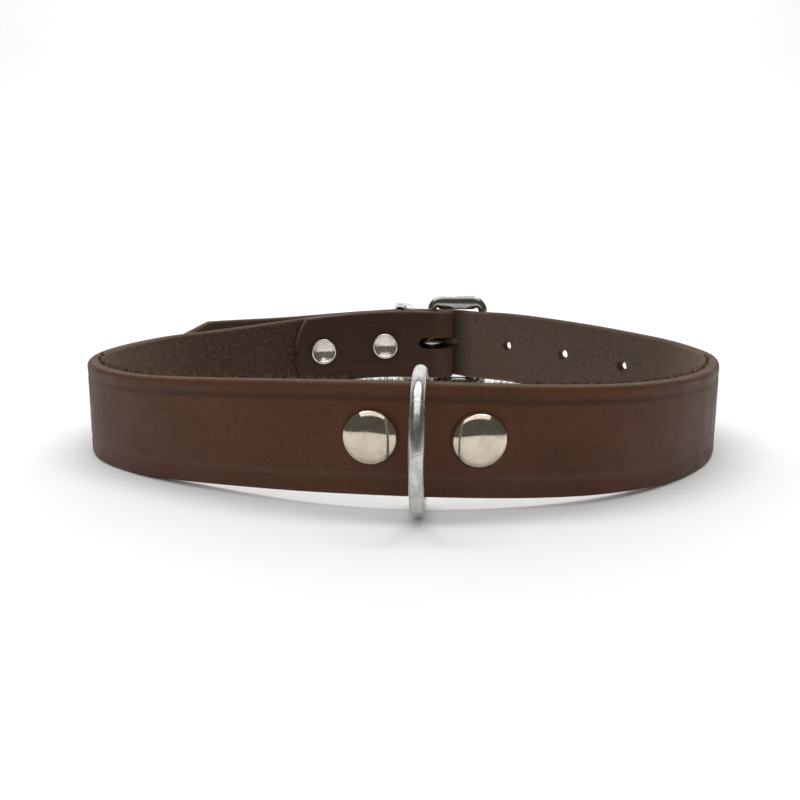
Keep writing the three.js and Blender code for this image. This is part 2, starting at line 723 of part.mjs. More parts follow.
const collar = new THREE.Group();
const buckle = buckleGroup();
collar.add(named('strap', makeStrap(buckle), materials.leather));
buckle.add(named('buckle_frame', makeBuckleFrame(), materials.steel));
buckle.add(named('buckle_tongue', makeTongue(), materials.steel));
collar.add(buckle);
addKeeper(collar);
addRing(collar);
for (const rivet of RIVETS) addRivet(collar, rivet);

export default centred(collar);
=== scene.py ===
"""A brown leather dog collar, buckled into a loop, standing on its edge on a pale floor."""

import math

import bmesh
import bpy
import numpy as np
from mathutils import Matrix, Vector, noise


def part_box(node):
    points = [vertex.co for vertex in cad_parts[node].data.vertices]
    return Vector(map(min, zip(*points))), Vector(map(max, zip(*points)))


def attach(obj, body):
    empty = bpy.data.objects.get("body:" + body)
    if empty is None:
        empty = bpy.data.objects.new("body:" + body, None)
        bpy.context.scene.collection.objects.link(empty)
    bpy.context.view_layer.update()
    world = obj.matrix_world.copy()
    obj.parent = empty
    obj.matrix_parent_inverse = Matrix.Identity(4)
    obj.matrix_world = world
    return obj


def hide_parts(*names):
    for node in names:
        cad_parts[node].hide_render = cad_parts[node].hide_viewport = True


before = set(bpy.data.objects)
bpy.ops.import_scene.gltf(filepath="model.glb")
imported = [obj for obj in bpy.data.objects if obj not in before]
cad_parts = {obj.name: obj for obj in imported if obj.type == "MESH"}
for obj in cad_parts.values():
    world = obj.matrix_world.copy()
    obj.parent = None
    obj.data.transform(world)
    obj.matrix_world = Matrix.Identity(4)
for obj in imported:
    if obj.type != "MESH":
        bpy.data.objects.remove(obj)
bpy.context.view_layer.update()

MM = 0.001
UP = Vector((0, 0, 1))
QUARTER = math.pi / 2
WELD_DISTANCE = 1e-7

# The leather strip, in millimetres
STRAP_WIDTH = 25.4
STRAP_THICKNESS = 3.5
EDGE_BEVEL = 1.1
LOOP_WIDTH = 183
LOOP_DEPTH = 156.6
LAYER_GAP = 0.3
FLAP_LENGTH = 56
FLAP_END_BULGE = 4.5
FOLD_SLACK = 3
FOLD_TAPER = 26
CROSSING_CLEAR = 1.8
TAIL_LENGTH = 116.4
TIP_LENGTH = 22
TIP_BLUNT = 6
TIP_ROUND = 3
TAIL_FLARE = 3
TAIL_DROP = 3.1
TAIL_DROP_RUN = 65
TOP_CREASE_INSET = 3.4
LOW_CREASE_INSET = 4.8
CREASE_DEPTH = 0.1
EDGE_ZONE = 5

# Its holes and slot
HOLE_DIAMETER = 4
HOLE_SPACING = 23.1
HOLE_LINE_RISE = 0.7
PUNCH_CLOSING = 0.5
PUNCH_OPENING = 1.1
HOLES_BEFORE_TONGUE = 3
HOLES_PAST_TONGUE = 3
TONGUE_HOLE_FROM_BAR = 9.4
SLOT_HEIGHT = 4.3
SLOT_REACH = 4.8
SLOT_OVERCUT = 0.27

# The buckle, the keeper and the ring
HEEL_BAR_FROM_START = 3.3
BUCKLE_WIRE = 3.4
BUCKLE_SIDE_WIDTH = 5.2
BUCKLE_REACH = 19
BUCKLE_REST_GAP = 0.3
BUCKLE_TOP_GAP = 0.6
BUCKLE_HEEL_CORNER = 2.4
BUCKLE_FAR_CORNER = 3.2
BUCKLE_SWELL = 4
TONGUE_WIRE = 2.4
TONGUE_OVERHANG = 1
METAL_GAP = 0.3
KEEPER_WIDTH = 4.2
KEEPER_THICKNESS = 1.8
KEEPER_FROM_BAR = 8.3
KEEPER_SKEW = 5.7
KEEPER_GAP = 0.3
RING_WIRE = 3.2
RING_LEG = 6.1
RING_CORNER = 2.4
RING_REST_GAP = 0.3
RING_TOP_GAP = 0.4
RING_BAR_GAP = 0.5
RING_OFF_MIDDLE = 1
RING_TURN_DEG = 1.4

# The rivets
FRONT_RIVET_SPACING = 23.7
REAR_RIVET_SPACING = 26.2
REAR_RIVET_FROM_BAR = 18.7
REAR_RIVET_DROP = 0.3
CAP_DIAMETER = 12.5
CAP_RISE = 2.2
CAP_EDGE = 0.7
HEAD_DIAMETER = 9.6
HEAD_RISE = 1.4
DISH_DIAMETER = 7.8
DISH_DEPTH = 1.8
POST_DIAMETER = 3.2
POST_IN_CAP = 1
POST_CLEARANCE = 0.3
SEAT_GAP = 0.3

# How much higher the front stands left of the ring than right of it, in millimetres
FRONT_LEAN = 0.65

# Shares of the loop's length
RIVET_MIDDLE = 0.5297
FRONT_RISE_RUN = 0.17
BACK_RISE_RUN = 0.17
BACK_LEVEL_RUN = 0.03

# The outer face of the loop from above, from beside the heel bar round by the left side:
# a share of the loop's width from its middle, and a share of its depth from the front.
LOOP_STATIONS = [
    (0.072, 0.991), (-0.162, 0.984), (-0.33, 0.886), (-0.429, 0.77), (-0.485, 0.61),
    (-0.499, 0.436), (-0.464, 0.297), (-0.384, 0.194), (-0.255, 0.102), (-0.104, 0.024),
    (0.032, 0), (0.183, 0.028), (0.29, 0.088), (0.386, 0.188), (0.458, 0.315),
    (0.499, 0.496), (0.478, 0.649), (0.396, 0.762), (0.282, 0.858), (0.182, 0.94),
]

# Sizes that follow from the ones above
RING_LIFT = RING_WIRE + RING_REST_GAP
BUCKLE_LIFT = BUCKLE_SIDE_WIDTH + BUCKLE_REST_GAP
BAR_RADIUS = BUCKLE_WIRE / 2
SKIN = STRAP_THICKNESS / 2
FOLD_HALF_GAP = BAR_RADIUS + METAL_GAP
FOLD_RADIUS = FOLD_HALF_GAP + SKIN
FOLD_MIDDLE = -STRAP_THICKNESS - LAYER_GAP / 2
TAIL_OVER_FOLD = FOLD_MIDDLE + FOLD_HALF_GAP + 1.5 * STRAP_THICKNESS + LAYER_GAP
TONGUE_LINE = BAR_RADIUS + METAL_GAP + TONGUE_WIRE / 2
TAIL_END = TAIL_LENGTH - TONGUE_HOLE_FROM_BAR
HALF_WIDTH = STRAP_WIDTH / 2
LINE_HEIGHT = HALF_WIDTH + HOLE_LINE_RISE

# The camera, in the drawing's millimetres, worked out from the strip's edges in the photograph
CAMERA_PLACE = (0.84, -180.39, 60.44)
CAMERA_LENS_MM = 38.717
CAMERA_DOWN_DEG = 11.011
CAMERA_YAW_DEG = 0.642
CAMERA_ROLL_DEG = 0.204
CAMERA_CLIP_START = 0.01


def smooth(share):
    t = min(1.0, max(0.0, share))
    return t * t * (3 - 2 * t)


def steps(start, end, count):
    return [start + (end - start) * i / count for i in range(count + 1)]


class Loop:
    """The outer face of the collar from above, measured from the heel bar round by the left."""

    SAMPLES = 240

    def __init__(self):
        knots = [Vector((x * LOOP_WIDTH, y * LOOP_DEPTH, 0)) for x, y in LOOP_STATIONS]
        points = [point for i in range(len(knots)) for point in self.stretch(knots, i)]
        points.append(points[0])
        runs = [0.0]
        for a, b in zip(points, points[1:]):
            runs.append(runs[-1] + (b - a).length)
        self.runs = np.array(runs)
        self.length = runs[-1]
        self.table = np.array([tuple(point) for point in points])

    def stretch(self, knots, i):
        """One centripetal stretch between two stations."""
        p0, p1, p2, p3 = (knots[(i + k - 1) % len(knots)] for k in range(4))
        d0, d1, d2 = ((b - a).length ** 0.5 for a, b in ((p0, p1), (p1, p2), (p2, p3)))
        leave = ((p1 - p0) / d0 - (p2 - p0) / (d0 + d1) + (p2 - p1) / d1) * d1
        arrive = ((p2 - p1) / d1 - (p3 - p1) / (d1 + d2) + (p3 - p2) / d2) * d1
        c2 = -3 * p1 + 3 * p2 - 2 * leave - arrive
        c3 = 2 * p1 - 2 * p2 + leave + arrive
        return [p1 + leave * t + c2 * t * t + c3 * t**3 for t in steps(0, 1, self.SAMPLES)[:-1]]

    def place(self, way):
        wrapped = (way + HEEL_BAR_FROM_START) % self.length
        return Vector([np.interp(wrapped, self.runs, self.table[:, k]) for k in range(3)])

    def tangent(self, way):
        step = 0.05
        return (self.place(way + step) - self.place(way - step)).normalized()

    def outward(self, way):
        along = self.tangent(way)
        return Vector((along.y, -along.x, 0))

    def at(self, way, offset, height=0.0):
        point = self.place(way) + self.outward(way) * offset
        point.z = height
        return point


loop = Loop()
FRONT_WAY = RIVET_MIDDLE * loop.length


def lift_at(way):
    """The height of the strip's lower edge: the ring and the buckle hold it up, the sides sag."""
    to_left = (FRONT_WAY - way) / loop.length / FRONT_RISE_RUN
    reach = min(1.0, abs(to_left))
    lean = FRONT_LEAN * math.copysign(1.0, to_left) * math.sin(math.pi * reach) * (1 - reach)
    wrapped = ((way + BUCKLE_REACH / 2) / loop.length + 1.5) % 1
    from_back = max(0.0, abs(wrapped - 0.5) - BACK_LEVEL_RUN)
    front = 1 - smooth(reach)
    back = 1 - smooth(from_back / BACK_RISE_RUN)
    return RING_LIFT * front + lean + BUCKLE_LIFT * back


def half_gap_at(way):
    opened = 1 - smooth(way / FOLD_TAPER)
    return LAYER_GAP / 2 + (FOLD_HALF_GAP - LAYER_GAP / 2) * opened


def rear_seats(way):
    outer = FOLD_MIDDLE + half_gap_at(way - CAP_DIAMETER / 2) + STRAP_THICKNESS
    inner = FOLD_MIDDLE - half_gap_at(way - HEAD_DIAMETER / 2) - STRAP_THICKNESS
    return outer, inner


def tail_lift_at(way):
    return BUCKLE_LIFT - TAIL_DROP * smooth(way / TAIL_DROP_RUN)


def tail_offset_at(way):
    cap_top = rear_seats(REAR_RIVET_FROM_BAR)[0] + SEAT_GAP + CAP_EDGE + CAP_RISE
    over_caps = cap_top + SEAT_GAP + SKIN
    last_rivet = REAR_RIVET_FROM_BAR + REAR_RIVET_SPACING
    rise = smooth(way / (REAR_RIVET_FROM_BAR - CAP_DIAMETER / 2))
    flare = smooth((way - last_rivet) / (2 * (TAIL_END - last_rivet)))
    return TAIL_OVER_FOLD + (over_caps - TAIL_OVER_FOLD) * rise + 2 * TAIL_FLARE * flare


def flap_half_height(from_end):
    radius = (HALF_WIDTH**2 + FLAP_END_BULGE**2) / (2 * FLAP_END_BULGE)
    if from_end >= FLAP_END_BULGE:
        return HALF_WIDTH
    return math.sqrt(radius**2 - (radius - from_end) ** 2)


def tip_half_height(from_end):
    taper = min(1.0, from_end / TIP_LENGTH)
    straight = TIP_BLUNT / 2 + (STRAP_WIDTH - TIP_BLUNT) / 2 * taper
    rounded = min(1.0, from_end / TIP_ROUND)
    return straight * math.sqrt(1 - (1 - rounded) ** 2)


class Stop:
    """One place on the strip: its middle, its grain side's direction and its half height."""

    def __init__(self, part, way, centre, half):
        self.part, self.way, self.centre, self.half = part, way, centre, half
        self.run, self.grain = 0.0, None


ROUTE_PITCH = 1.0
END_SHARES = (0.02, 0.06, 0.14, 0.26, 0.42, 0.6, 0.8)


def make_route():
    """The strip's middle line, from the turned-back end to the tip of the free end."""
    stops = []

    def add(part, way, point, lift, half=HALF_WIDTH):
        point.z = lift + HALF_WIDTH
        stops.append(Stop(part, way, point, half))

    def spread(start, end, finer=1):
        return steps(start, end, max(2, round(abs(end - start) / ROUTE_PITCH)) * finer)

    ways = [FLAP_LENGTH - FLAP_END_BULGE * share for share in END_SHARES]
    ways += spread(FLAP_LENGTH - FLAP_END_BULGE, -FOLD_SLACK)
    for way in ways:
        offset = FOLD_MIDDLE - half_gap_at(way) - SKIN
        add("flap", way, loop.at(way, offset), lift_at(way), flap_half_height(FLAP_LENGTH - way))

    bend = -FOLD_SLACK
    middle = loop.at(bend, FOLD_MIDDLE)
    for turn in steps(0, math.pi, 28)[1:-1]:
        point = middle - loop.tangent(bend) * (FOLD_RADIUS * math.sin(turn))
        point -= loop.outward(bend) * (FOLD_RADIUS * math.cos(turn))
        add("fold", bend, point, lift_at(bend))

    far_bar = loop.length - BUCKLE_REACH
    for way in spread(bend, far_bar):
        offset = FOLD_MIDDLE + half_gap_at(way) + SKIN
        add("main", way, loop.at(way, offset), lift_at(way))

    crossing_end = loop.length - FOLD_SLACK - CROSSING_CLEAR
    for way in spread(far_bar, crossing_end, 2)[1:]:
        share = smooth((way - far_bar) / (crossing_end - far_bar))
        offset = -SKIN + (TAIL_OVER_FOLD + SKIN) * share
        add("crossing", way, loop.at(way, offset), lift_at(way))

    ways = spread(bend, TAIL_END - TIP_ROUND)
    ways += [TAIL_END - TIP_ROUND * share for share in END_SHARES[::-1]]
    for way in ways:
        half = tip_half_height(TAIL_END - way)
        add("tail", loop.length + way, loop.at(way, tail_offset_at(way)), tail_lift_at(way), half)

    for i, stop in enumerate(stops):
        before = stops[max(0, i - 1)]
        after = stops[min(len(stops) - 1, i + 1)]
        along = after.centre - before.centre
        stop.grain = Vector((along.y, -along.x, 0)).normalized()
        stop.run = before.run + (stop.centre - before.centre).length
    return stops


route = make_route()


def route_at(run):
    """The place on the strip at a length measured along the leather."""
    past = max(1, next((i for i, stop in enumerate(route) if stop.run >= run), len(route) - 1))
    a, b = route[past - 1:past + 1]
    share = (run - a.run) / (b.run - a.run)
    stop = Stop(a.part, a.way, a.centre.lerp(b.centre, share), a.half + (b.half - a.half) * share)
    stop.grain = a.grain.lerp(b.grain, share).normalized()
    stop.run = run
    return stop


def run_at(part, way):
    """The length along the leather at which a part of the route reaches a way round the loop."""
    stops = [stop for stop in route if stop.part == part]
    if stops[-1].way < stops[0].way:
        stops.reverse()
    return float(np.interp(way, [stop.way for stop in stops], [stop.run for stop in stops]))


TONGUE_RUN = run_at("crossing", loop.length - TONGUE_HOLE_FROM_BAR)
HOLE_RUNS = [
    TONGUE_RUN + i * HOLE_SPACING for i in range(-HOLES_BEFORE_TONGUE, HOLES_PAST_TONGUE + 1)
]


class Rivet:
    """A rivet's place: its way round the loop and the offsets of its two seats."""

    def __init__(self, name, side, way, outer, inner):
        self.name, self.side, self.way = name, side, way
        self.outer, self.inner = outer, inner
        drop = REAR_RIVET_DROP + HOLE_LINE_RISE if name == "rear" else 0
        self.height = lift_at(way) + LINE_HEIGHT - drop


REAR_LEFT_WAY = REAR_RIVET_FROM_BAR + REAR_RIVET_SPACING
RIVETS = [
    Rivet("front", "left", FRONT_WAY - FRONT_RIVET_SPACING / 2, 0, -STRAP_THICKNESS),
    Rivet("front", "right", FRONT_WAY + FRONT_RIVET_SPACING / 2, 0, -STRAP_THICKNESS),
    Rivet("rear", "left", REAR_LEFT_WAY, *rear_seats(REAR_LEFT_WAY)),
    Rivet("rear", "right", REAR_RIVET_FROM_BAR, *rear_seats(REAR_RIVET_FROM_BAR)),
]
FRONT_RUN = run_at("main", FRONT_WAY)
CAP_RUNS = [run_at("main", rivet.way) for rivet in RIVETS]
HEAD_RUNS = [run_at("flap", rivet.way) for rivet in RIVETS if rivet.name == "rear"]


# Where the drawing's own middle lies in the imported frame
def frame_shift():
    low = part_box("strap")[0]
    corners = [stop.centre + stop.grain * side for stop in route for side in (-SKIN, SKIN)]
    own_x = min(corner.x for corner in corners)
    own_y = min(corner.y for corner in corners)
    return Vector((low.x / MM - own_x, low.y / MM - own_y, 0))


SHIFT = frame_shift()


def to_frame(point):
    """A point of the drawing, in millimetres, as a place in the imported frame, in metres."""
    return (point + SHIFT) * MM


def placed(name, data):
    """A mesh, a curve, a light or a camera as an object in the scene."""
    piece = bpy.data.objects.new(name, data)
    bpy.context.collection.objects.link(piece)
    return piece


def cleaned(mesh, weld=True):
    """Welds a mesh's doubled corners, if asked, and turns its faces outward."""
    work = bmesh.new()
    work.from_mesh(mesh)
    if weld:
        bmesh.ops.remove_doubles(work, verts=work.verts, dist=WELD_DISTANCE)
    bmesh.ops.recalc_face_normals(work, faces=work.faces)
    work.to_mesh(mesh)
    work.free()


def evaluated(holder):
    """A new mesh of what an object's modifiers make."""
    depsgraph = bpy.context.evaluated_depsgraph_get()
    return bpy.data.meshes.new_from_object(holder.evaluated_get(depsgraph))


def discard(holder):
    """Removes an object with its mesh or curve."""
    data = holder.data
    bpy.data.objects.remove(holder)
    (bpy.data.meshes if isinstance(data, bpy.types.Mesh) else bpy.data.curves).remove(data)


def smooth_mesh(name, vertices, faces, *materials):
    mesh = bpy.data.meshes.new(name)
    mesh.from_pydata(vertices, [], faces)
    for material in materials:
        mesh.materials.append(material)
    mesh.shade_smooth()
    return mesh


def new_piece(name, vertices, faces, material):
    """A smooth piece from corners given in the drawing's millimetres."""
    mesh = smooth_mesh(name, [to_frame(v) for v in vertices], faces, material)
    mesh.validate()
    cleaned(mesh)
    return placed(name, mesh)


def tube_faces(rings, count, joined=False):
    """Quads between successive rings of points, with end faces unless the tube is joined."""
    faces = []
    for i in range(rings if joined else rings - 1):
        near, far = i * count, (i + 1) % rings * count
        for j in range(count):
            k = (j + 1) % count
            faces.append((near + j, far + j, far + k, near + k))
    if not joined:
        faces += [tuple(range(count))[::-1], tuple(range((rings - 1) * count, rings * count))]
    return faces


def arc(x, y, radius, start, end, count):
    """Points round a place, from one number of quarter turns to another."""
    turns = steps(start * QUARTER, end * QUARTER, count)
    return [(x + radius * math.cos(turn), y + radius * math.sin(turn)) for turn in turns]


def with_sides(bends, count=8):
    """Joins a round outline's arcs by straight runs that have points of their own."""
    outline = []
    for i, bend in enumerate(bends):
        outline += bend
        (x, y), (next_x, next_y) = bend[-1], bends[(i + 1) % len(bends)][0]
        for k in range(1, count):
            outline.append((x + (next_x - x) * k / count, y + (next_y - y) * k / count))
    return outline


def circle(radius, sides):
    return arc(0, 0, radius, 0, 4, sides)[:-1]


def with_normals(outline):
    """The corners of a closed outline, each with its outward normal."""
    corners = []
    for i, (x, y) in enumerate(outline):
        before, after = outline[i - 1], outline[(i + 1) % len(outline)]
        along = Vector((after[0] - before[0], after[1] - before[1])).normalized()
        corners.append((x, y, along.y, -along.x))
    return corners


# Node helpers, for the materials and for the geometry trees
class Nodes:
    """Short ways to add and join the nodes of one tree."""

    def __init__(self, tree):
        self.tree = tree

    def feed(self, socket, value):
        """Joins a socket to another node's socket, or sets its value."""
        if isinstance(value, bpy.types.NodeSocket):
            self.tree.links.new(value, socket)
        elif socket.type == "RGBA":
            socket.default_value = (*value, 1.0)
        else:
            socket.default_value = value

    def add(self, kind, inputs=None, **settings):
        node = self.tree.nodes.new(kind)
        for key, value in settings.items():
            setattr(node, key, value)
        for key, value in (inputs or {}).items():
            self.feed(node.inputs[key], value)
        return node

    def fill(self, node, **inputs):
        """Feeds a node's inputs by their names, written with underscores for spaces."""
        for key, value in inputs.items():
            self.feed(node.inputs[key.replace("_", " ")], value)

    def group(self, tree, **inputs):
        node = self.add("ShaderNodeGroup", node_tree=tree)
        self.fill(node, **inputs)
        return node.outputs[0]

    def math(self, operation, a, b=0.0):
        return self.add("ShaderNodeMath", {0: a, 1: b}, operation=operation).outputs[0]

    def plus(self, a, b):
        return self.math("ADD", a, b)

    def minus(self, a, b):
        return self.math("SUBTRACT", a, b)

    def times(self, a, b):
        return self.math("MULTIPLY", a, b)

    def apart(self, a, b):
        return self.math("ABSOLUTE", self.minus(a, b))

    def ramp(self, value, low, high, to_low=0.0, to_high=1.0):
        """A smooth step of a value from one range to another."""
        inputs = {"Value": value, "From Min": low, "From Max": high, "To Min": to_low, "To Max": to_high}
        return self.add("ShaderNodeMapRange", inputs, interpolation_type="SMOOTHSTEP").outputs[0]

    def mix(self, factor, a, b):
        return self.add("ShaderNodeMix", {0: factor, 6: a, 7: b}, data_type="RGBA").outputs[2]

    def tint(self, colour, tone, value, low, high, part=1.0):
        """Lays a tone over a colour, as far as a value has come from low to high."""
        return self.mix(self.ramp(value, low, high, 0.0, part), colour, tone)

    def noise(self, vector, scale, detail=3.0, rough=0.55, distortion=0.0):
        return self.add("ShaderNodeTexNoise", {
            "Vector": vector, "Scale": scale, "Detail": detail,
            "Roughness": rough, "Distortion": distortion,
        }).outputs["Fac"]

    def bump(self, height, strength, distance):
        inputs = {"Height": height, "Strength": strength, "Distance": distance}
        return self.add("ShaderNodeBump", inputs).outputs[0]


def new_material(name):
    """A material with its node helper, its shader and the object's own coordinates."""
    material = bpy.data.materials.new(name)
    material.use_nodes = True
    material.node_tree.nodes.clear()
    nodes = Nodes(material.node_tree)
    shader = nodes.add("ShaderNodeBsdfPrincipled")
    nodes.add("ShaderNodeOutputMaterial", {"Surface": shader.outputs[0]})
    return material, nodes, shader, nodes.add("ShaderNodeTexCoord").outputs["Object"]


# The kinds of the node groups' sockets that aren't plain numbers
SOCKETS = {"Vector": "Vector", "Path": "Geometry", "Wire": "Geometry", "Fibres": "Geometry",
           "Hair": "Object", "Sides": "Int", "Seed": "Int", "Material": "Material"}


def group_tree(name, inputs, output, kind="ShaderNodeTree"):
    """A node group with its inputs and its output, each named by one word."""
    tree = bpy.data.node_groups.new(name, kind)
    for label in (inputs + " " + output).split():
        side = "OUTPUT" if label == output else "INPUT"
        socket = "NodeSocket" + SOCKETS.get(label, "Float")
        tree.interface.new_socket(label, in_out=side, socket_type=socket)
    nodes = Nodes(tree)
    return tree, nodes, nodes.add("NodeGroupInput").outputs, nodes.add("NodeGroupOutput")


def fine_scratches_group():
    """Thin random scratches, as a mask."""
    tree, nodes, given, made = group_tree("fine scratches", "Vector Scale Width", "Mask")
    mask = 0.0
    for turn, stretch in ((0.4, 14.0), (2.1, 9.0), (1.2, 20.0)):
        turned_place = nodes.add("ShaderNodeMapping", {
            "Vector": given["Vector"],
            "Rotation": (turn, turn * 1.7, turn * 0.6), "Scale": (1.0, stretch, 1.0),
        })
        value = nodes.noise(turned_place.outputs[0], given["Scale"], 1.0, 0.3)
        line = nodes.ramp(nodes.apart(value, 0.5), 0.0, given["Width"], 1.0, 0.0)
        mask = nodes.math("MAXIMUM", mask, line)
    nodes.fill(made, Mask=mask)
    return tree


def mottle_group():
    """Soft cloudy variation at two scales, centred on nought."""
    tree, nodes, given, made = group_tree("soft mottle", "Vector Broad Fine", "Value")
    broad = nodes.noise(given["Vector"], given["Broad"], 3.0, 0.5, 0.3)
    fine = nodes.noise(given["Vector"], given["Fine"], 4.0, 0.6)
    both = nodes.plus(nodes.times(broad, 0.65), nodes.times(fine, 0.35))
    nodes.fill(made, Value=nodes.minus(both, 0.5))
    return tree


def spot_group():
    """A round mask about one place on the strip's own map, in metres along and across."""
    labels = "Along Across Place Inner Outer"
    tree, nodes, given, made = group_tree("spot on the strip", labels, "Mask")
    off = nodes.minus(given["Along"], given["Place"])
    square = nodes.plus(nodes.times(off, off), nodes.times(given["Across"], given["Across"]))
    away = nodes.math("SQRT", square)
    nodes.fill(made, Mask=nodes.ramp(away, given["Inner"], given["Outer"], 1.0, 0.0))
    return tree


SCRATCHES = fine_scratches_group()
MOTTLE = mottle_group()
SPOT = spot_group()

# The strip's own map: along the leather, and round its section from the grain side's middle
BEVEL_ARC = EDGE_BEVEL * 1.5708
GRAIN_END = HALF_WIDTH - EDGE_BEVEL
EDGE_START = GRAIN_END + BEVEL_ARC
FLESH_START = EDGE_START + STRAP_THICKNESS - EDGE_BEVEL

GRAIN_BROWN = (0.083, 0.034, 0.018)
GRAIN_RED = (0.108, 0.040, 0.019)
# GRAIN_DARK is a random dark tone, streak and fine texture of the grain, and also painted shade along the
# upper crease.
GRAIN_DARK = (0.050, 0.021, 0.012)
# GRAIN_GREY is a random tone of the grain, and also painted sheen at the sides and a painted highlight on
# the lower crease.
GRAIN_GREY = (0.092, 0.053, 0.035)
FLAP_BROWN_AND_SHADE = (0.034, 0.016, 0.010)
EDGE_TAN = (0.150, 0.098, 0.066)
EDGE_BROWN = (0.090, 0.052, 0.034)
FLESH_DARK = (0.026, 0.013, 0.008)
FLESH_WARM = (0.110, 0.060, 0.038)
FLESH_GREY = (0.086, 0.060, 0.046)
FLESH_SPECK = (0.042, 0.028, 0.021)
FLESH_PALE = (0.150, 0.112, 0.084)
FIBRE_TAN = (0.20, 0.13, 0.085)


def strip_map(nodes):
    """Along and across sockets of the strip's own map, in metres, and the across distance."""
    uv = nodes.add("ShaderNodeUVMap", uv_map="strip")
    parts = nodes.add("ShaderNodeSeparateXYZ", {"Vector": uv.outputs[0]})
    along, across = parts.outputs[0], parts.outputs[1]
    return along, across, nodes.math("ABSOLUTE", across)


def stretched(nodes, along, away, length_scale, width_scale):
    """A vector that stretches a noise along the strip."""
    return nodes.add("ShaderNodeCombineXYZ", {
        "X": nodes.times(along, length_scale),
        "Y": nodes.times(away, width_scale),
    }).outputs[0]


def leather_grain():
    """The smooth dyed side, its creases, its bevelled edges and the raw cut edge, with painted shade in
    the upper crease and on the turned-back end, a painted highlight on the lower crease and painted sheen
    at the sides.
    """
    material, nodes, shader, place = new_material("leather_grain")
    along, across, away = strip_map(nodes)

    cloud = nodes.group(MOTTLE, Vector=place, Broad=34.0, Fine=150.0)
    patch = nodes.noise(place, 19.0, 2.0, 0.45, 0.4)
    colour = nodes.tint(GRAIN_BROWN, GRAIN_RED, patch, 0.36, 0.70, 0.4)
    colour = nodes.tint(colour, GRAIN_DARK, cloud, 0.0, 0.18, 0.35)
    streak = nodes.noise(stretched(nodes, along, across, 18.0, 420.0), 1.0, 3.0, 0.6)
    colour = nodes.tint(colour, GRAIN_DARK, streak, 0.55, 0.8, 0.25)
    # Painted sheen: the grain turns a lighter grey-brown away from the front, for the sheen that the
    # sides catch.
    sides = nodes.ramp(nodes.apart(along, FRONT_RUN * MM), 0.035, 0.135)
    colour = nodes.mix(nodes.times(sides, 0.75), colour, GRAIN_GREY)
    fine = nodes.noise(place, 560.0, 5.0, 0.78)
    colour = nodes.tint(colour, GRAIN_DARK, fine, 0.50, 0.68, 0.5)
    colour = nodes.tint(colour, GRAIN_GREY, fine, 0.48, 0.30, 0.4)

    halo = 0.0
    line = nodes.minus(across, HOLE_LINE_RISE * MM)
    for run in CAP_RUNS + HEAD_RUNS:
        spot = nodes.group(SPOT, Along=along, Across=line, Place=run * MM,
                           Inner=CAP_DIAMETER / 2 * MM, Outer=CAP_DIAMETER * 0.8 * MM)
        halo = nodes.math("MAXIMUM", halo, spot)
    colour = nodes.mix(nodes.times(halo, 0.55), colour, GRAIN_RED)

    # Painted shade plus darker leather: the turned-back end is darkened partly for its own darker tone
    # and partly for the shade it lies in inside the loop.
    flap = nodes.ramp(along, (FLAP_LENGTH - 4) * MM, (FLAP_LENGTH + 6) * MM, 0.8, 0.0)
    colour = nodes.mix(flap, colour, FLAP_BROWN_AND_SHADE)

    # Painted shade along the upper crease and a painted highlight along the lower one, both weaker
    # towards the sides.
    painted_crease_share = nodes.minus(1.0, nodes.times(sides, 0.7))
    for crease, tone, part in ((HALF_WIDTH - TOP_CREASE_INSET, GRAIN_DARK, 0.75),
                               (LOW_CREASE_INSET - HALF_WIDTH, GRAIN_GREY, 0.6)):
        band = nodes.ramp(nodes.apart(across, crease * MM), 0.0002, 0.0012, 1.0, 0.0)
        colour = nodes.mix(nodes.times(band, nodes.times(painted_crease_share, part)), colour, tone)

    fibre = nodes.noise(stretched(nodes, along, away, 260.0, 2600.0), 1.0, 4.0, 0.7)
    raw = nodes.tint(EDGE_BROWN, EDGE_TAN, fibre, 0.35, 0.68)
    near_edge = nodes.ramp(away, GRAIN_END * MM, (EDGE_START + 0.3) * MM)
    ragged = nodes.plus(near_edge, nodes.times(nodes.minus(fibre, 0.5), 0.5))
    edge = nodes.ramp(ragged, 0.35, 0.8)

    rough = nodes.ramp(nodes.noise(place, 90.0, 4.0, 0.6), 0.3, 0.7, 0.42, 0.58)
    pores = nodes.add("ShaderNodeTexVoronoi", {"Vector": place, "Scale": 1500.0})
    pore = nodes.ramp(pores.outputs["Distance"], 0.0, 0.5)
    height = nodes.plus(nodes.times(pore, 0.3), nodes.noise(place, 420.0, 5.0, 0.62))
    scratch = nodes.group(SCRATCHES, Vector=place, Scale=28.0, Width=0.006)
    height = nodes.minus(height, nodes.times(scratch, 0.4))
    height = nodes.plus(height, nodes.times(nodes.times(fibre, edge), 3.0))
    nodes.fill(shader, Base_Color=nodes.mix(edge, colour, raw), Specular_IOR_Level=0.16,
               Roughness=nodes.plus(rough, nodes.times(edge, 0.28)),
               Normal=nodes.bump(height, 0.55, 0.00007))
    return material


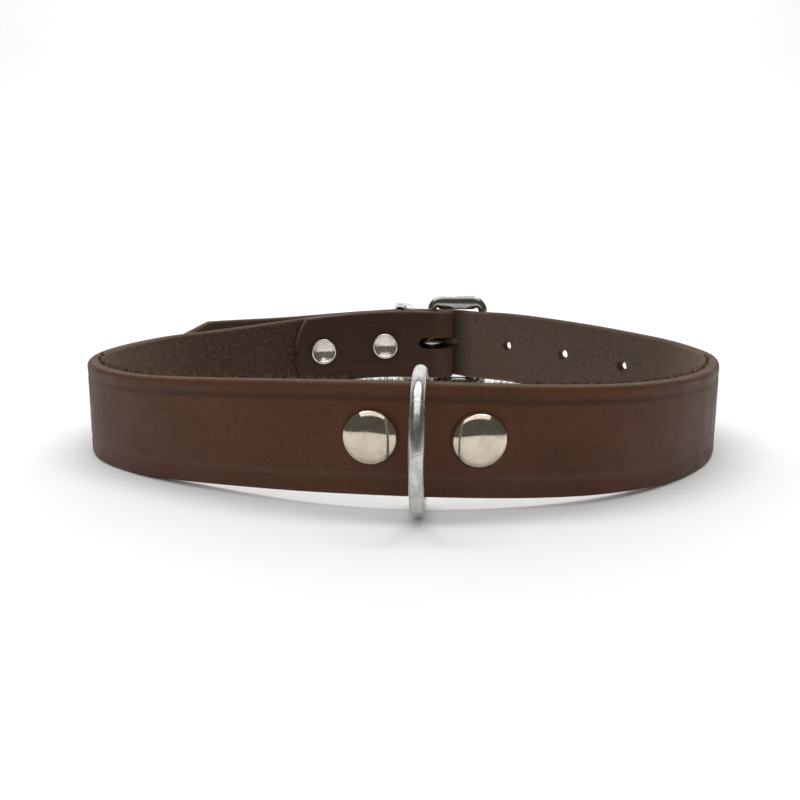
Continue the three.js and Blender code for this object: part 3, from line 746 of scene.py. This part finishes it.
def leather_flesh():
    """The raw inner side: dark and fibrous by the turned-back end, worn grey towards the holes."""
    material, nodes, shader, place = new_material("leather_flesh")
    along, across, away = strip_map(nodes)

    worn = nodes.ramp(along, (FRONT_RUN - 40) * MM, (FRONT_RUN + 130) * MM)
    bent = nodes.plus(along, nodes.times(nodes.noise(place, 500.0, 2.0), 0.0012))
    tuft = nodes.noise(stretched(nodes, bent, away, 1900.0, 800.0), 1.0, 4.0, 0.72, 0.6)
    speck = nodes.noise(place, 1300.0, 3.0, 0.65)
    dark = nodes.tint(FLESH_DARK, FLESH_WARM, tuft, 0.42, 0.66)
    cloud = nodes.group(MOTTLE, Vector=place, Broad=40.0, Fine=260.0)
    grey = nodes.mix(nodes.ramp(cloud, -0.12, 0.14, 0.1, 0.5), FLESH_GREY, FLESH_WARM)
    grey = nodes.tint(grey, FLESH_SPECK, speck, 0.50, 0.62, 0.75)
    scratch = nodes.group(SCRATCHES, Vector=place, Scale=22.0, Width=0.002)
    marks = nodes.times(scratch, nodes.times(worn, 0.3))
    colour = nodes.mix(marks, nodes.mix(worn, dark, grey), FLESH_PALE)
    near_edge = nodes.ramp(away, (FLESH_START + 1.6) * MM, FLESH_START * MM)
    ragged = nodes.plus(near_edge, nodes.times(nodes.minus(tuft, 0.5), 0.9))

    fuzz = nodes.plus(tuft, nodes.times(speck, 0.5))
    height = nodes.times(fuzz, nodes.minus(1.0, nodes.times(worn, 0.45)))
    nodes.fill(shader, Base_Color=nodes.tint(colour, EDGE_TAN, ragged, 0.35, 1.0),
               Roughness=nodes.minus(0.93, nodes.times(worn, 0.1)), Specular_IOR_Level=0.25,
               Sheen_Weight=0.22, Sheen_Roughness=0.6, Sheen_Tint=(0.8, 0.6, 0.45),
               Normal=nodes.bump(height, 0.9, 0.00028))
    return material


def fibre_material():
    """Loose fibres that stand off the cut edges and the raw side."""
    material, nodes, shader, place = new_material("leather_fibre")
    tone = nodes.ramp(nodes.noise(place, 700.0, 2.0), 0.38, 0.62)
    nodes.fill(shader, Base_Color=nodes.mix(tone, FLESH_DARK, FIBRE_TAN),
               Roughness=0.85, Specular_IOR_Level=0.2)
    return material


def plated(name, tint, shade, smoothest, roughest, dents, scratches):
    """Plated metal with a cloudy polish, shallow dents and hairline scratches."""
    material, nodes, shader, place = new_material(name)
    cloud = nodes.group(MOTTLE, Vector=place, Broad=260.0, Fine=900.0)
    scratch = nodes.group(SCRATCHES, Vector=place, Scale=60.0, Width=0.008)
    rough = nodes.ramp(cloud, -0.14, 0.14, smoothest, roughest)
    height = nodes.minus(nodes.noise(place, 330.0, 3.0, 0.5), nodes.times(scratch, 0.25))
    nodes.fill(shader, Base_Color=nodes.tint(tint, shade, cloud, -0.12, 0.14),
               Roughness=nodes.plus(rough, nodes.times(scratch, scratches)), Metallic=1.0,
               Normal=nodes.bump(height, dents, 0.00012))
    return material


LEATHER_GRAIN = leather_grain()
LEATHER_FLESH = leather_flesh()
FIBRE = fibre_material()
NICKEL_MIRROR = plated("nickel_mirror", (0.68, 0.60, 0.50), (0.56, 0.48, 0.39), 0.05, 0.13, 0.08, 0.12)
# The posts' turned heads take a brighter tint than the caps' plating; the extra brightness paints in part
# of their highlights.
NICKEL_TURNED_BRIGHTENED = plated("nickel_turned", (0.86, 0.80, 0.71), (0.66, 0.61, 0.54), 0.18, 0.30, 0.3, 0.15)
NICKEL_SATIN = plated("nickel_satin", (0.62, 0.61, 0.58), (0.46, 0.45, 0.43), 0.16, 0.34, 0.55, 0.15)
STEEL_DARK = plated("steel_dark", (0.42, 0.41, 0.39), (0.28, 0.27, 0.26), 0.10, 0.24, 0.22, 0.15)
STEEL_BRIGHT = plated("steel_bright", (0.66, 0.64, 0.60), (0.48, 0.46, 0.43), 0.16, 0.30, 0.25, 0.15)


# The strip
def strip_section():
    """Corners round the section: out from the middle, rise, place on the map, and side."""
    upper = half_section(HALF_WIDTH - TOP_CREASE_INSET)
    lower = half_section(HALF_WIDTH - LOW_CREASE_INSET)
    return upper + [(out, -rise, -spot, side) for out, rise, spot, side in lower[1:-1]][::-1]


def half_section(crease):
    """Half the section, with a pressed line at one distance from the middle."""
    bevel = EDGE_BEVEL
    grain = [(0.0, (crease - 1.2) * share) for share in steps(0, 1, 7)]
    pressed = ((-0.8, 0.2), (-0.4, 0.7), (0.0, 1.0), (0.4, 0.7), (0.8, 0.2))
    grain += [(CREASE_DEPTH * depth, crease + off) for off, depth in pressed]
    grain += [(0.0, crease + past) for past in (1.2, 1.7, 2.2)]
    half = [(SKIN - sunk, rise, rise, "grain") for sunk, rise in grain]
    for turn in steps(0, QUARTER, 5):
        out = SKIN - bevel + bevel * math.cos(turn)
        rise = HALF_WIDTH - bevel + bevel * math.sin(turn)
        half.append((out, rise, GRAIN_END + BEVEL_ARC * turn / QUARTER, "edge"))
    for out in (0.1, -0.8, -1.45):
        half.append((out, HALF_WIDTH, EDGE_START + SKIN - bevel - out, "edge"))
    half.append((-SKIN, HALF_WIDTH - 0.18, FLESH_START, "flesh"))
    for rise in (12.0, 11.2, 10.2, 9.1, 8.0, 6.8, 5.6, 4.4, 3.3, 2.2, 1.1, 0.0):
        half.append((-SKIN, rise, FLESH_START + HALF_WIDTH - rise, "flesh"))
    return half


def fitted_rise(rise, half):
    """A section's rise where the strip narrows: the edge zone keeps its size where it can."""
    zone = min(EDGE_ZONE, half * 0.75)
    inset = HALF_WIDTH - abs(rise)
    if inset < EDGE_ZONE:
        return math.copysign(half - inset * zone / EDGE_ZONE, rise)
    return (half - zone) * rise / (HALF_WIDTH - EDGE_ZONE)


def surface_wander(point, side, run, rise):
    """How far a corner of the strip stands off its true place, outward, in millimetres."""
    place = point * 0.06
    slow = noise.noise(place) * 0.06
    if side == "flesh":
        rough = noise.noise(point * 0.55) * 0.06 + noise.noise(point * 1.3) * 0.05
        return slow + rough
    dent = 0.0
    for cap_run in CAP_RUNS + HEAD_RUNS:
        away = math.hypot(run - cap_run, rise - HOLE_LINE_RISE)
        dent += 0.16 * math.exp(-(((away - CAP_DIAMETER / 2) / 1.1) ** 2))
    return slow + noise.noise(point * 0.4) * 0.02 - dent


def strip_mesh(name, stops, section, widen=0.0, wander=True):
    """The strip, or a cutter with the same run, as rings of corners with its map."""
    count = len(section)
    vertices, coords = [], []
    for stop in stops:
        for out, rise, spot, side in section:
            fitted = fitted_rise(rise, stop.half) if wander else rise * stop.half / HALF_WIDTH
            point = stop.centre + UP * fitted
            reach = out + math.copysign(widen, out) if out else out
            if wander:
                drift = surface_wander(point + stop.grain * out, side, stop.run, fitted)
                if side == "edge":
                    ruffle = noise.noise((point + stop.grain * out) * 0.8) * 0.05
                    point += UP * math.copysign(ruffle, rise)
                reach += math.copysign(drift, out) if side != "edge" else 0.0
            vertices.append(point + stop.grain * reach)
            coords.append((stop.run * MM, spot * MM))
    faces = tube_faces(len(stops), count)
    mesh = smooth_mesh(name, [to_frame(v) for v in vertices], faces, LEATHER_GRAIN, LEATHER_FLESH)
    layer = mesh.uv_layers.new(name="strip")
    seam = section.index(min(section, key=lambda corner: (abs(corner[1]), corner[0])))
    for polygon in mesh.polygons:
        columns = [vertex % count for vertex in polygon.vertices]
        flesh = all(section[column][3] == "flesh" for column in columns)
        polygon.material_index = 1 if flesh else 0
        below = any(section[column][1] < 0 for column in columns)
        for loop_index, vertex in zip(polygon.loop_indices, polygon.vertices):
            along, across = coords[vertex]
            if vertex % count == seam and below:
                across = -across
            layer.data[loop_index].uv = (along, across)
    cleaned(mesh, weld=False)
    return placed(name, mesh)


def slot_cutter():
    """A rounded slot that follows the leather round the fold."""
    radius = SLOT_HEIGHT / 2
    start = run_at("flap", SLOT_REACH)
    end = run_at("main", SLOT_REACH)
    middle = [stop.run for stop in route if start + radius < stop.run < end - radius]
    caps = [radius * share for share in (0.02, 0.12, 0.3, 0.55, 0.8, 1.0)]
    runs = [start + inset for inset in caps] + middle + [end - inset for inset in caps[::-1]]
    stops = []
    for run in runs:
        stop = route_at(run)
        stop.centre += UP * HOLE_LINE_RISE
        inset = min(1.0, min(run - start, end - run) / radius)
        stop.half = radius * math.sqrt(1 - (1 - inset) ** 2)
        stops.append(stop)
    box = [(-SKIN, -HALF_WIDTH), (SKIN, -HALF_WIDTH), (SKIN, HALF_WIDTH), (-SKIN, HALF_WIDTH)]
    section = [(out, rise, EDGE_START + 1.0, "edge") for out, rise in box]
    return strip_mesh("slot_cutter", stops, section, widen=SLOT_OVERCUT / 2, wander=False)


def rod_cutter(name, start, end, radius, closing=1.0):
    """A round cutter between two points, mapped to the raw edge; closing narrows its end."""
    axis = (end - start).normalized()
    turn = axis.to_track_quat("Z", "Y").to_matrix()
    sides = 40
    rings = []
    for point, wide in ((start, radius), (end, radius * closing)):
        rings += [point + turn @ Vector((x, y, 0)) for x, y in circle(wide, sides)]
    piece = new_piece(name, rings, tube_faces(2, sides), LEATHER_GRAIN)
    layer = piece.data.uv_layers.new(name="strip")
    for corner in layer.data:
        corner.uv = (0.0, (EDGE_START + 1.0) * MM)
    return piece


def punch_cutters():
    reach = SKIN + 1
    cutters = []
    for i, run in enumerate(HOLE_RUNS):
        stop = route_at(run)
        middle = stop.centre + UP * HOLE_LINE_RISE
        inner, outer = middle - stop.grain * reach, middle + stop.grain * reach
        radius = HOLE_DIAMETER / 2 * PUNCH_OPENING
        cutters.append(rod_cutter(f"punch_{i}", inner, outer, radius, PUNCH_CLOSING))
    for i, rivet in enumerate(RIVETS):
        inner = loop.at(rivet.way, rivet.inner - 1, rivet.height)
        outer = loop.at(rivet.way, rivet.outer + 1, rivet.height)
        radius = POST_DIAMETER / 2 + POST_CLEARANCE
        cutters.append(rod_cutter(f"rivet_punch_{i}", inner, outer, radius))
    return cutters


def cut(piece, cutters):
    """Takes the cutters out of a piece and removes them."""
    for cutter in cutters:
        modifier = piece.modifiers.new("cut", "BOOLEAN")
        modifier.operation = "DIFFERENCE"
        modifier.solver = "EXACT"
        modifier.object = cutter
    whole = piece.data
    mesh = evaluated(piece)
    piece.modifiers.clear()
    piece.data = mesh
    mesh.name = piece.name
    bpy.data.meshes.remove(whole)
    for cutter in cutters:
        discard(cutter)


# The buckle's own frame: X from the heel bar to the far bar, Y outward, Z up
HEEL_BAR = loop.at(0, FOLD_MIDDLE)
FAR_BAR = loop.at(-BUCKLE_REACH, METAL_GAP + BAR_RADIUS)
BUCKLE_SPAN = (FAR_BAR - HEEL_BAR).length
TONGUE_HEIGHT = BUCKLE_LIFT + LINE_HEIGHT
TONGUE_TIP = BUCKLE_SPAN + TONGUE_OVERHANG
BUCKLE_X = (FAR_BAR - HEEL_BAR).normalized()
BUCKLE_Y = UP.cross(BUCKLE_X)


def in_buckle(x, y, z):
    return HEEL_BAR + BUCKLE_X * x + BUCKLE_Y * y + UP * z


def make_strap():
    strap = strip_mesh("leather_strap", route, strip_section())
    cut(strap, punch_cutters() + [slot_cutter()])
    ends = [in_buckle(x, TONGUE_LINE, TONGUE_HEIGHT) for x in (0, TONGUE_TIP + TONGUE_WIRE)]
    cut(strap, [rod_cutter("tongue_way", *ends, TONGUE_WIRE / 2 + METAL_GAP * 0.8)])
    return strap


# Geometry trees: a round section swept along a path, and hairs scattered along a path
def finished(nodes, made, label, geometry, material):
    """Ends a tree with real geometry in one material."""
    real = nodes.add("GeometryNodeRealizeInstances", {"Geometry": geometry})
    paint = nodes.add("GeometryNodeSetMaterial", {"Geometry": real.outputs[0], "Material": material})
    nodes.feed(made.inputs[label], paint.outputs[0])


def wire_tree():
    labels = "Path Radius Sides Material"
    tree, nodes, given, made = group_tree("bent wire", labels, "Wire", "GeometryNodeTree")
    size = {"Resolution": given["Sides"], "Radius": given["Radius"]}
    section = nodes.add("GeometryNodeCurvePrimitiveCircle", size)
    sweep = nodes.add("GeometryNodeCurveToMesh", {
        "Curve": given["Path"], "Profile Curve": section.outputs["Curve"], "Fill Caps": True,
    })
    soft = nodes.add("GeometryNodeSetShadeSmooth", {"Geometry": sweep.outputs["Mesh"]})
    finished(nodes, made, "Wire", soft.outputs["Geometry"], given["Material"])
    return tree


def fibre_tree():
    labels = "Path Hair Spacing Kept Shortest Longest Lean Seed Material"
    tree, nodes, given, made = group_tree("loose fibres", labels, "Fibres", "GeometryNodeTree")
    spread = nodes.add("GeometryNodeResampleCurve", {
        "Curve": given["Path"], "Length": given["Spacing"],
    }, mode="LENGTH")
    points = nodes.add("GeometryNodeCurveToPoints", {"Curve": spread.outputs[0]}, mode="EVALUATED")

    def chance(kind, inputs):
        return nodes.add("FunctionNodeRandomValue", {**inputs, "Seed": given["Seed"]}, data_type=kind)

    kept = chance("BOOLEAN", {"Probability": given["Kept"]})
    size = chance("FLOAT", {2: given["Shortest"], 3: given["Longest"]})
    flip = nodes.times(given["Lean"], -1.0)
    low = nodes.add("ShaderNodeCombineXYZ", {0: flip, 1: flip, 2: -math.pi})
    high = nodes.add("ShaderNodeCombineXYZ", {0: given["Lean"], 1: given["Lean"], 2: math.pi})
    lean = chance("FLOAT_VECTOR", {0: low.outputs[0], 1: high.outputs[0]})
    hair = nodes.add("GeometryNodeObjectInfo", {"Object": given["Hair"]})
    scatter = nodes.add("GeometryNodeInstanceOnPoints", {
        "Points": points.outputs["Points"], "Selection": kept.outputs[3],
        "Instance": hair.outputs["Geometry"], "Rotation": lean.outputs[0], "Scale": size.outputs[1],
    })
    finished(nodes, made, "Fibres", scatter.outputs["Instances"], given["Material"])
    return tree


WIRE = wire_tree()
FIBRES = fibre_tree()
WIRE_SIDES = 40


def along_path(name, points, tree, shares=None, cyclic=False, **inputs):
    """A path through points of the drawing, with a tree on it. shares narrow its points."""
    curve = bpy.data.curves.new(name, "CURVE")
    curve.dimensions = "3D"
    spline = curve.splines.new("POLY")
    spline.points.add(len(points) - 1)
    for slot, point, share in zip(spline.points, points, shares or [1.0] * len(points)):
        slot.co = (*to_frame(point), 1.0)
        slot.radius = share
    spline.use_cyclic_u = cyclic
    holder = placed(name, curve)
    modifier = holder.modifiers.new("tree", "NODES")
    modifier.node_group = tree
    for socket in tree.interface.items_tree:
        if socket.name in inputs:
            modifier[socket.identifier] = inputs[socket.name]
    return holder


def make_wire(name, points, radius, material, shares=None, cyclic=True):
    holder = along_path(name + "_path", points, WIRE, shares, cyclic,
                        Radius=radius * MM, Sides=WIRE_SIDES, Material=material)
    mesh = evaluated(holder)
    mesh.name = name
    discard(holder)
    cleaned(mesh)
    return placed(name, mesh)


def make_ring():
    radius = RING_WIRE / 2
    corner = RING_CORNER
    top = RING_LIFT + STRAP_WIDTH + RING_TOP_GAP + radius
    bow = (top - radius) / 2
    outline = with_sides([
        arc(corner, radius + corner, corner, 2, 3, 10),
        arc(RING_LEG, radius + bow, bow, -1, 1, 60),
        arc(corner, top - corner, corner, 1, 2, 10),
    ])
    way = FRONT_WAY - RING_OFF_MIDDLE
    bar = loop.at(way, -STRAP_THICKNESS - RING_BAR_GAP - radius)
    outward = Matrix.Rotation(-math.radians(RING_TURN_DEG), 3, "Z") @ loop.outward(way)
    points = [bar + outward * x + UP * z for x, z in outline]
    return make_wire("ring_wire", points, radius, NICKEL_SATIN)


def make_buckle_frame():
    """Two round bars and the wider sides between them, which swell towards their middle."""
    half_side = BUCKLE_SIDE_WIDTH / 2
    top = BUCKLE_LIFT + STRAP_WIDTH + BUCKLE_TOP_GAP + half_side
    heel, far, span = BUCKLE_HEEL_CORNER, BUCKLE_FAR_CORNER, BUCKLE_SPAN
    outline = with_sides([
        arc(span - far, half_side + far, far, -1, 0, 12),
        arc(span - far, top - far, far, 0, 1, 12),
        arc(heel, top - heel, heel, 1, 2, 10),
        arc(heel, half_side + heel, heel, 2, 3, 10),
    ], 20)
    vertices = []
    for x, z, normal_x, normal_z in with_normals(outline):
        swell = smooth(min(x, span - x) / BUCKLE_SWELL)
        wide = BAR_RADIUS + (half_side - BAR_RADIUS) * swell
        for out, side in circle(1, WIRE_SIDES):
            across = wide * out
            spot = x + normal_x * across, BAR_RADIUS * side, z + normal_z * across
            vertices.append(in_buckle(*spot))
    faces = tube_faces(len(outline), WIRE_SIDES, joined=True)
    return new_piece("buckle_wire", vertices, faces, STEEL_DARK)


def make_tongue():
    """A rod with a round tip, bent into an eye round the heel bar."""
    radius = TONGUE_WIRE / 2
    turns = steps(QUARTER, 0.12, 8)[::-1]
    points = [(TONGUE_TIP + radius * math.cos(turn), TONGUE_LINE) for turn in turns]
    shares = [max(0.05, math.sin(turn)) for turn in turns]
    points += [(x, TONGUE_LINE) for x in steps(TONGUE_TIP, 0, 20)[1:]]
    points += arc(0, 0, TONGUE_LINE, 1, 4.45, 40)[1:]
    shares += [1.0] * (len(points) - len(shares))
    places = [in_buckle(x, y, TONGUE_HEIGHT) for x, y in points]
    return make_wire("tongue_rod", places, radius, STEEL_BRIGHT, shares, cyclic=False)


def make_keeper():
    """A flat band with soft corners, which runs back along the strip as it goes outward."""
    thick, middle, wide = KEEPER_THICKNESS, KEEPER_THICKNESS / 2, KEEPER_WIDTH / 2
    far_edge = KEEPER_FROM_BAR + KEEPER_SKEW + wide
    inner = FOLD_MIDDLE - middle
    outer = tail_offset_at(far_edge) + SKIN + KEEPER_GAP + thick
    lowest = tail_lift_at(far_edge) - KEEPER_GAP - thick
    highest = BUCKLE_LIFT + STRAP_WIDTH + KEEPER_GAP + thick
    left, right = inner + middle + thick, outer - middle - thick
    low, high = lowest + middle + thick, highest - middle - thick
    outline = with_sides([
        arc(right, low, thick, -1, 0, 8),
        arc(right, high, thick, 0, 1, 8),
        arc(left, high, thick, 1, 2, 8),
        arc(left, low, thick, 2, 3, 8),
    ])
    soft = thick * 0.42
    profile = []
    for i, (side_w, side_t) in enumerate(((1, 1), (-1, 1), (-1, -1), (1, -1))):
        corner = side_w * (wide - soft), side_t * (middle - soft)
        profile += arc(*corner, soft, i, i + 1, 4)
    along = loop.tangent(KEEPER_FROM_BAR)
    outward = loop.outward(KEEPER_FROM_BAR)
    place = loop.at(KEEPER_FROM_BAR, 0)
    vertices = []
    for offset, height, normal_out, normal_up in with_normals(outline):
        for across, through in profile:
            out = offset + normal_out * through
            rise = height + normal_up * through
            shift = across + (out - inner) / (outer - inner) * KEEPER_SKEW
            vertices.append(place + along * shift + outward * out + UP * rise)
    faces = tube_faces(len(outline), len(profile), joined=True)
    return new_piece("keeper_band", vertices, faces, STEEL_BRIGHT)


# Rivets, turned about their own axis
TURN_SIDES = 72
AXIS_RADIUS = 1e-4


def turned(name, profile, seat, axis, material):
    """A turned piece: a profile of radius and height, from its seat along its axis."""
    turn = axis.to_track_quat("Z", "Y").to_matrix()
    vertices = []
    for radius, height in profile:
        for x, y in circle(max(radius, AXIS_RADIUS), TURN_SIDES):
            vertices.append(seat + turn @ Vector((x, y, height)))
    return new_piece(name, vertices, tube_faces(len(profile), TURN_SIDES), material)


def cap_profile():
    """A low dome with a rolled rim and a socket for its post."""
    radius = CAP_DIAMETER / 2
    socket = POST_DIAMETER / 2 + POST_CLEARANCE
    depth = POST_IN_CAP + POST_CLEARANCE
    points = [(0, depth), (socket, depth), (socket, 0.05), (socket + 0.05, 0), (radius - 0.5, 0)]
    points += arc(radius - 0.32, 0.32, 0.32, -1, 0.35, 8)
    crown = CAP_EDGE + CAP_RISE
    shoulder = radius - 0.12
    for turn in steps(0.22, QUARTER, 26):
        out = shoulder * math.cos(turn) ** 0.94
        points.append((out, 0.45 + (crown - 0.45) * math.sin(turn) ** 1.05))
    points[-1] = (0, crown)
    return points


def post_profile(grip):
    """A shank and a head with a rolled rim and a turned hollow."""
    shank = POST_DIAMETER / 2
    rim = HEAD_DIAMETER / 2
    dish = DISH_DIAMETER / 2
    deep = HEAD_RISE - DISH_DEPTH
    foot = -grip - POST_IN_CAP
    points = [(0, foot), (shank - 0.2, foot), (shank, foot + 0.2)]
    points += [(shank, -0.1), (shank + 0.1, 0), (rim - 0.55, 0)]
    roll = (rim - dish) / 2
    points += arc(rim - roll, HEAD_RISE - roll, roll, -0.7, 1.7, 16)
    lip = HEAD_RISE - roll * 0.6
    for share in steps(0, 1, 10)[1:]:
        fall = (lip - deep) * (1 - (1 - share) ** 1.7)
        turning_mark = 0.018 * math.sin(share * 38)
        points.append((dish * (1 - share) * 0.98, lip - fall + turning_mark))
    points[-1] = (0, deep)
    return points


def make_rivets():
    """Each cap and post, with the name of the CAD node that it stands for."""
    made = []
    for rivet in RIVETS:
        outward = loop.outward(rivet.way)
        grip = rivet.outer - rivet.inner + 2 * SEAT_GAP
        for look, node, offset, axis, profile, finish in (
            ("dome", "cap", rivet.outer + SEAT_GAP, outward, cap_profile(), NICKEL_MIRROR),
            ("stud", "post", rivet.inner - SEAT_GAP, -outward, post_profile(grip), NICKEL_TURNED_BRIGHTENED),
        ):
            seat = loop.at(rivet.way, offset, rivet.height)
            piece = turned(f"{rivet.name}_{look}_{rivet.side}", profile, seat, axis, finish)
            made.append((piece, f"{rivet.name}_{node}_{rivet.side}"))
    return made


# Loose fibres
def hair_object():
    """One bent hair a millimetre long, with three sides."""
    bends = [(0.0, 0.0, 0.055), (0.06, 0.35, 0.045), (0.2, 0.7, 0.03), (0.42, 0.95, 0.006)]
    vertices = [Vector((out + x, y, rise)) * MM
                for out, rise, radius in bends for x, y in circle(radius, 3)]
    mesh = bpy.data.meshes.new("hair")
    mesh.from_pydata(vertices, [], tube_faces(len(bends), 3))
    cleaned(mesh, weld=False)
    return placed("hair", mesh)


def edge_line(out, rise, first_run, last_run):
    """Points along the strip at one place of its section."""
    return [stop.centre + stop.grain * out + UP * rise for stop in route
            if first_run <= stop.run <= last_run and stop.half > HALF_WIDTH * 0.98]


def make_fibres():
    """Fuzz on the inner top edge, sparser on the outer one, and tufts on the raw side."""
    start = run_at("main", FOLD_TAPER)
    end = run_at("main", loop.length - BUCKLE_REACH - 4)
    near, far = FRONT_RUN - 120, FRONT_RUN + 120
    lines = [
        (edge_line(-SKIN + 0.12, HALF_WIDTH - 0.05, near, far), 0.11, 0.8, 0.4, 1.2, 0.9, 3),
        (edge_line(-SKIN + 0.3, HALF_WIDTH - 0.03, near, far), 0.4, 0.4, 0.9, 1.7, 0.6, 11),
        (edge_line(-SKIN + 0.5, HALF_WIDTH, start, end), 0.3, 0.6, 0.15, 0.4, 1.1, 5),
        (edge_line(-SKIN - 0.02, HALF_WIDTH - 0.6, start, FRONT_RUN), 0.25, 0.6, 0.3, 0.6, 1.2, 7),
    ]
    helpers = [hair_object()]
    work = bmesh.new()
    for points, spacing, kept, shortest, longest, lean, seed in lines:
        holder = along_path("fuzz_line", points, FIBRES, Hair=helpers[0], Spacing=spacing * MM, Kept=kept,
                            Shortest=shortest, Longest=longest, Lean=lean, Seed=seed, Material=FIBRE)
        mesh = evaluated(holder)
        work.from_mesh(mesh)
        bpy.data.meshes.remove(mesh)
        helpers.append(holder)
    mesh = bpy.data.meshes.new("edge_fibres")
    work.to_mesh(mesh)
    work.free()
    mesh.materials.append(FIBRE)
    for helper in helpers:
        discard(helper)
    return placed("edge_fibres", mesh)


# The floor, the lights and the camera
def make_floor():
    """A pale floor that curves up into a backdrop far behind the collar."""
    wide, near, far, tall, bend = 4.0, -3.0, 1.6, 2.4, 0.8
    curve = arc(far - bend, bend, bend, -1, 0, 24)
    profile = [(near, 0.0), (0.0, 0.0), *curve, (far, tall)]
    vertices = [(x, y, z) for y, z in profile for x in (-wide, wide)]
    faces = [(2 * i, 2 * i + 1, 2 * i + 3, 2 * i + 2) for i in range(len(profile) - 1)]
    material, nodes, shader, place = new_material("pale_floor")
    cloud = nodes.group(MOTTLE, Vector=place, Broad=2.0, Fine=30.0)
    colour = nodes.mix(nodes.ramp(cloud, -0.2, 0.2), (0.90, 0.90, 0.91), (0.93, 0.93, 0.93))
    nodes.fill(shader, Base_Color=colour, Roughness=0.75, Specular_IOR_Level=0.2)
    floor = placed("floor", smooth_mesh("floor", vertices, faces, material))


def add_light(name, place, size, power, target=(0, 0, 0.02), glossy=False):
    data = bpy.data.lights.new(name, "AREA")
    data.shape = "RECTANGLE"
    data.size, data.size_y = size
    data.energy = power
    light = placed(name, data)
    light.location = place
    light.rotation_euler = (Vector(target) - Vector(place)).to_track_quat("-Z", "Y").to_euler()
    light.visible_glossy = glossy


def make_lights():
    add_light("top_softbox", (0.0, -0.25, 1.3), (2.0, 1.3), 10, (0, 0, 0), glossy=True)
    add_light("left_window", (-1.3, -0.3, 0.6), (0.8, 1.1), 3.2)
    add_light("right_window", (1.3, -0.2, 0.6), (0.8, 1.1), 0.7)
    add_light("front_fill", (0.0, -1.3, 1.0), (2.4, 1.0), 4.6)
    add_light("back_fill", (0.0, 1.0, 0.9), (2.4, 1.0), 3)
    add_light("backdrop_wash", (0.0, 0.5, 1.9), (2.4, 0.6), 30, (0, 1.6, 0.7), glossy=True)
    world = bpy.data.worlds.new("soft_room")
    world.use_nodes = True
    background = world.node_tree.nodes["Background"]
    background.inputs["Color"].default_value = (0.92, 0.92, 0.84, 1)
    background.inputs["Strength"].default_value = 0.12
    bpy.context.scene.world = world


def make_camera():
    data = bpy.data.cameras.new("camera")
    data.lens = CAMERA_LENS_MM
    data.sensor_width = 36
    data.clip_start = CAMERA_CLIP_START
    camera = placed("camera", data)
    turns = ((CAMERA_YAW_DEG, "Z"), (90 - CAMERA_DOWN_DEG, "X"), (CAMERA_ROLL_DEG, "Z"))
    yaw, pitch, roll = (Matrix.Rotation(math.radians(turn), 3, axis) for turn, axis in turns)
    camera.location = to_frame(Vector(CAMERA_PLACE))
    camera.rotation_euler = (yaw @ pitch @ roll).to_euler()
    bpy.context.scene.camera = camera
    bpy.context.scene.view_settings.view_transform = "Standard"


def dress(piece, body, slot, *nodes):
    """A piece rides on a body and stands for its CAD nodes, which are hidden. Its slot is not used."""
    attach(piece, body)
    if nodes:
        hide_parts(*nodes)


make_camera()
make_floor()
make_lights()
dress(make_strap(), "collar", "leather", "strap")
dress(make_fibres(), "collar", "leather")
dress(make_buckle_frame(), "collar", "steel", "buckle_frame")
dress(make_tongue(), "collar", "steel", "buckle_tongue")
dress(make_keeper(), "collar", "steel", "keeper_loop")
dress(make_ring(), "ring", "nickel", "d_ring")
for piece, node in make_rivets():
    dress(piece, "collar", "nickel", node)
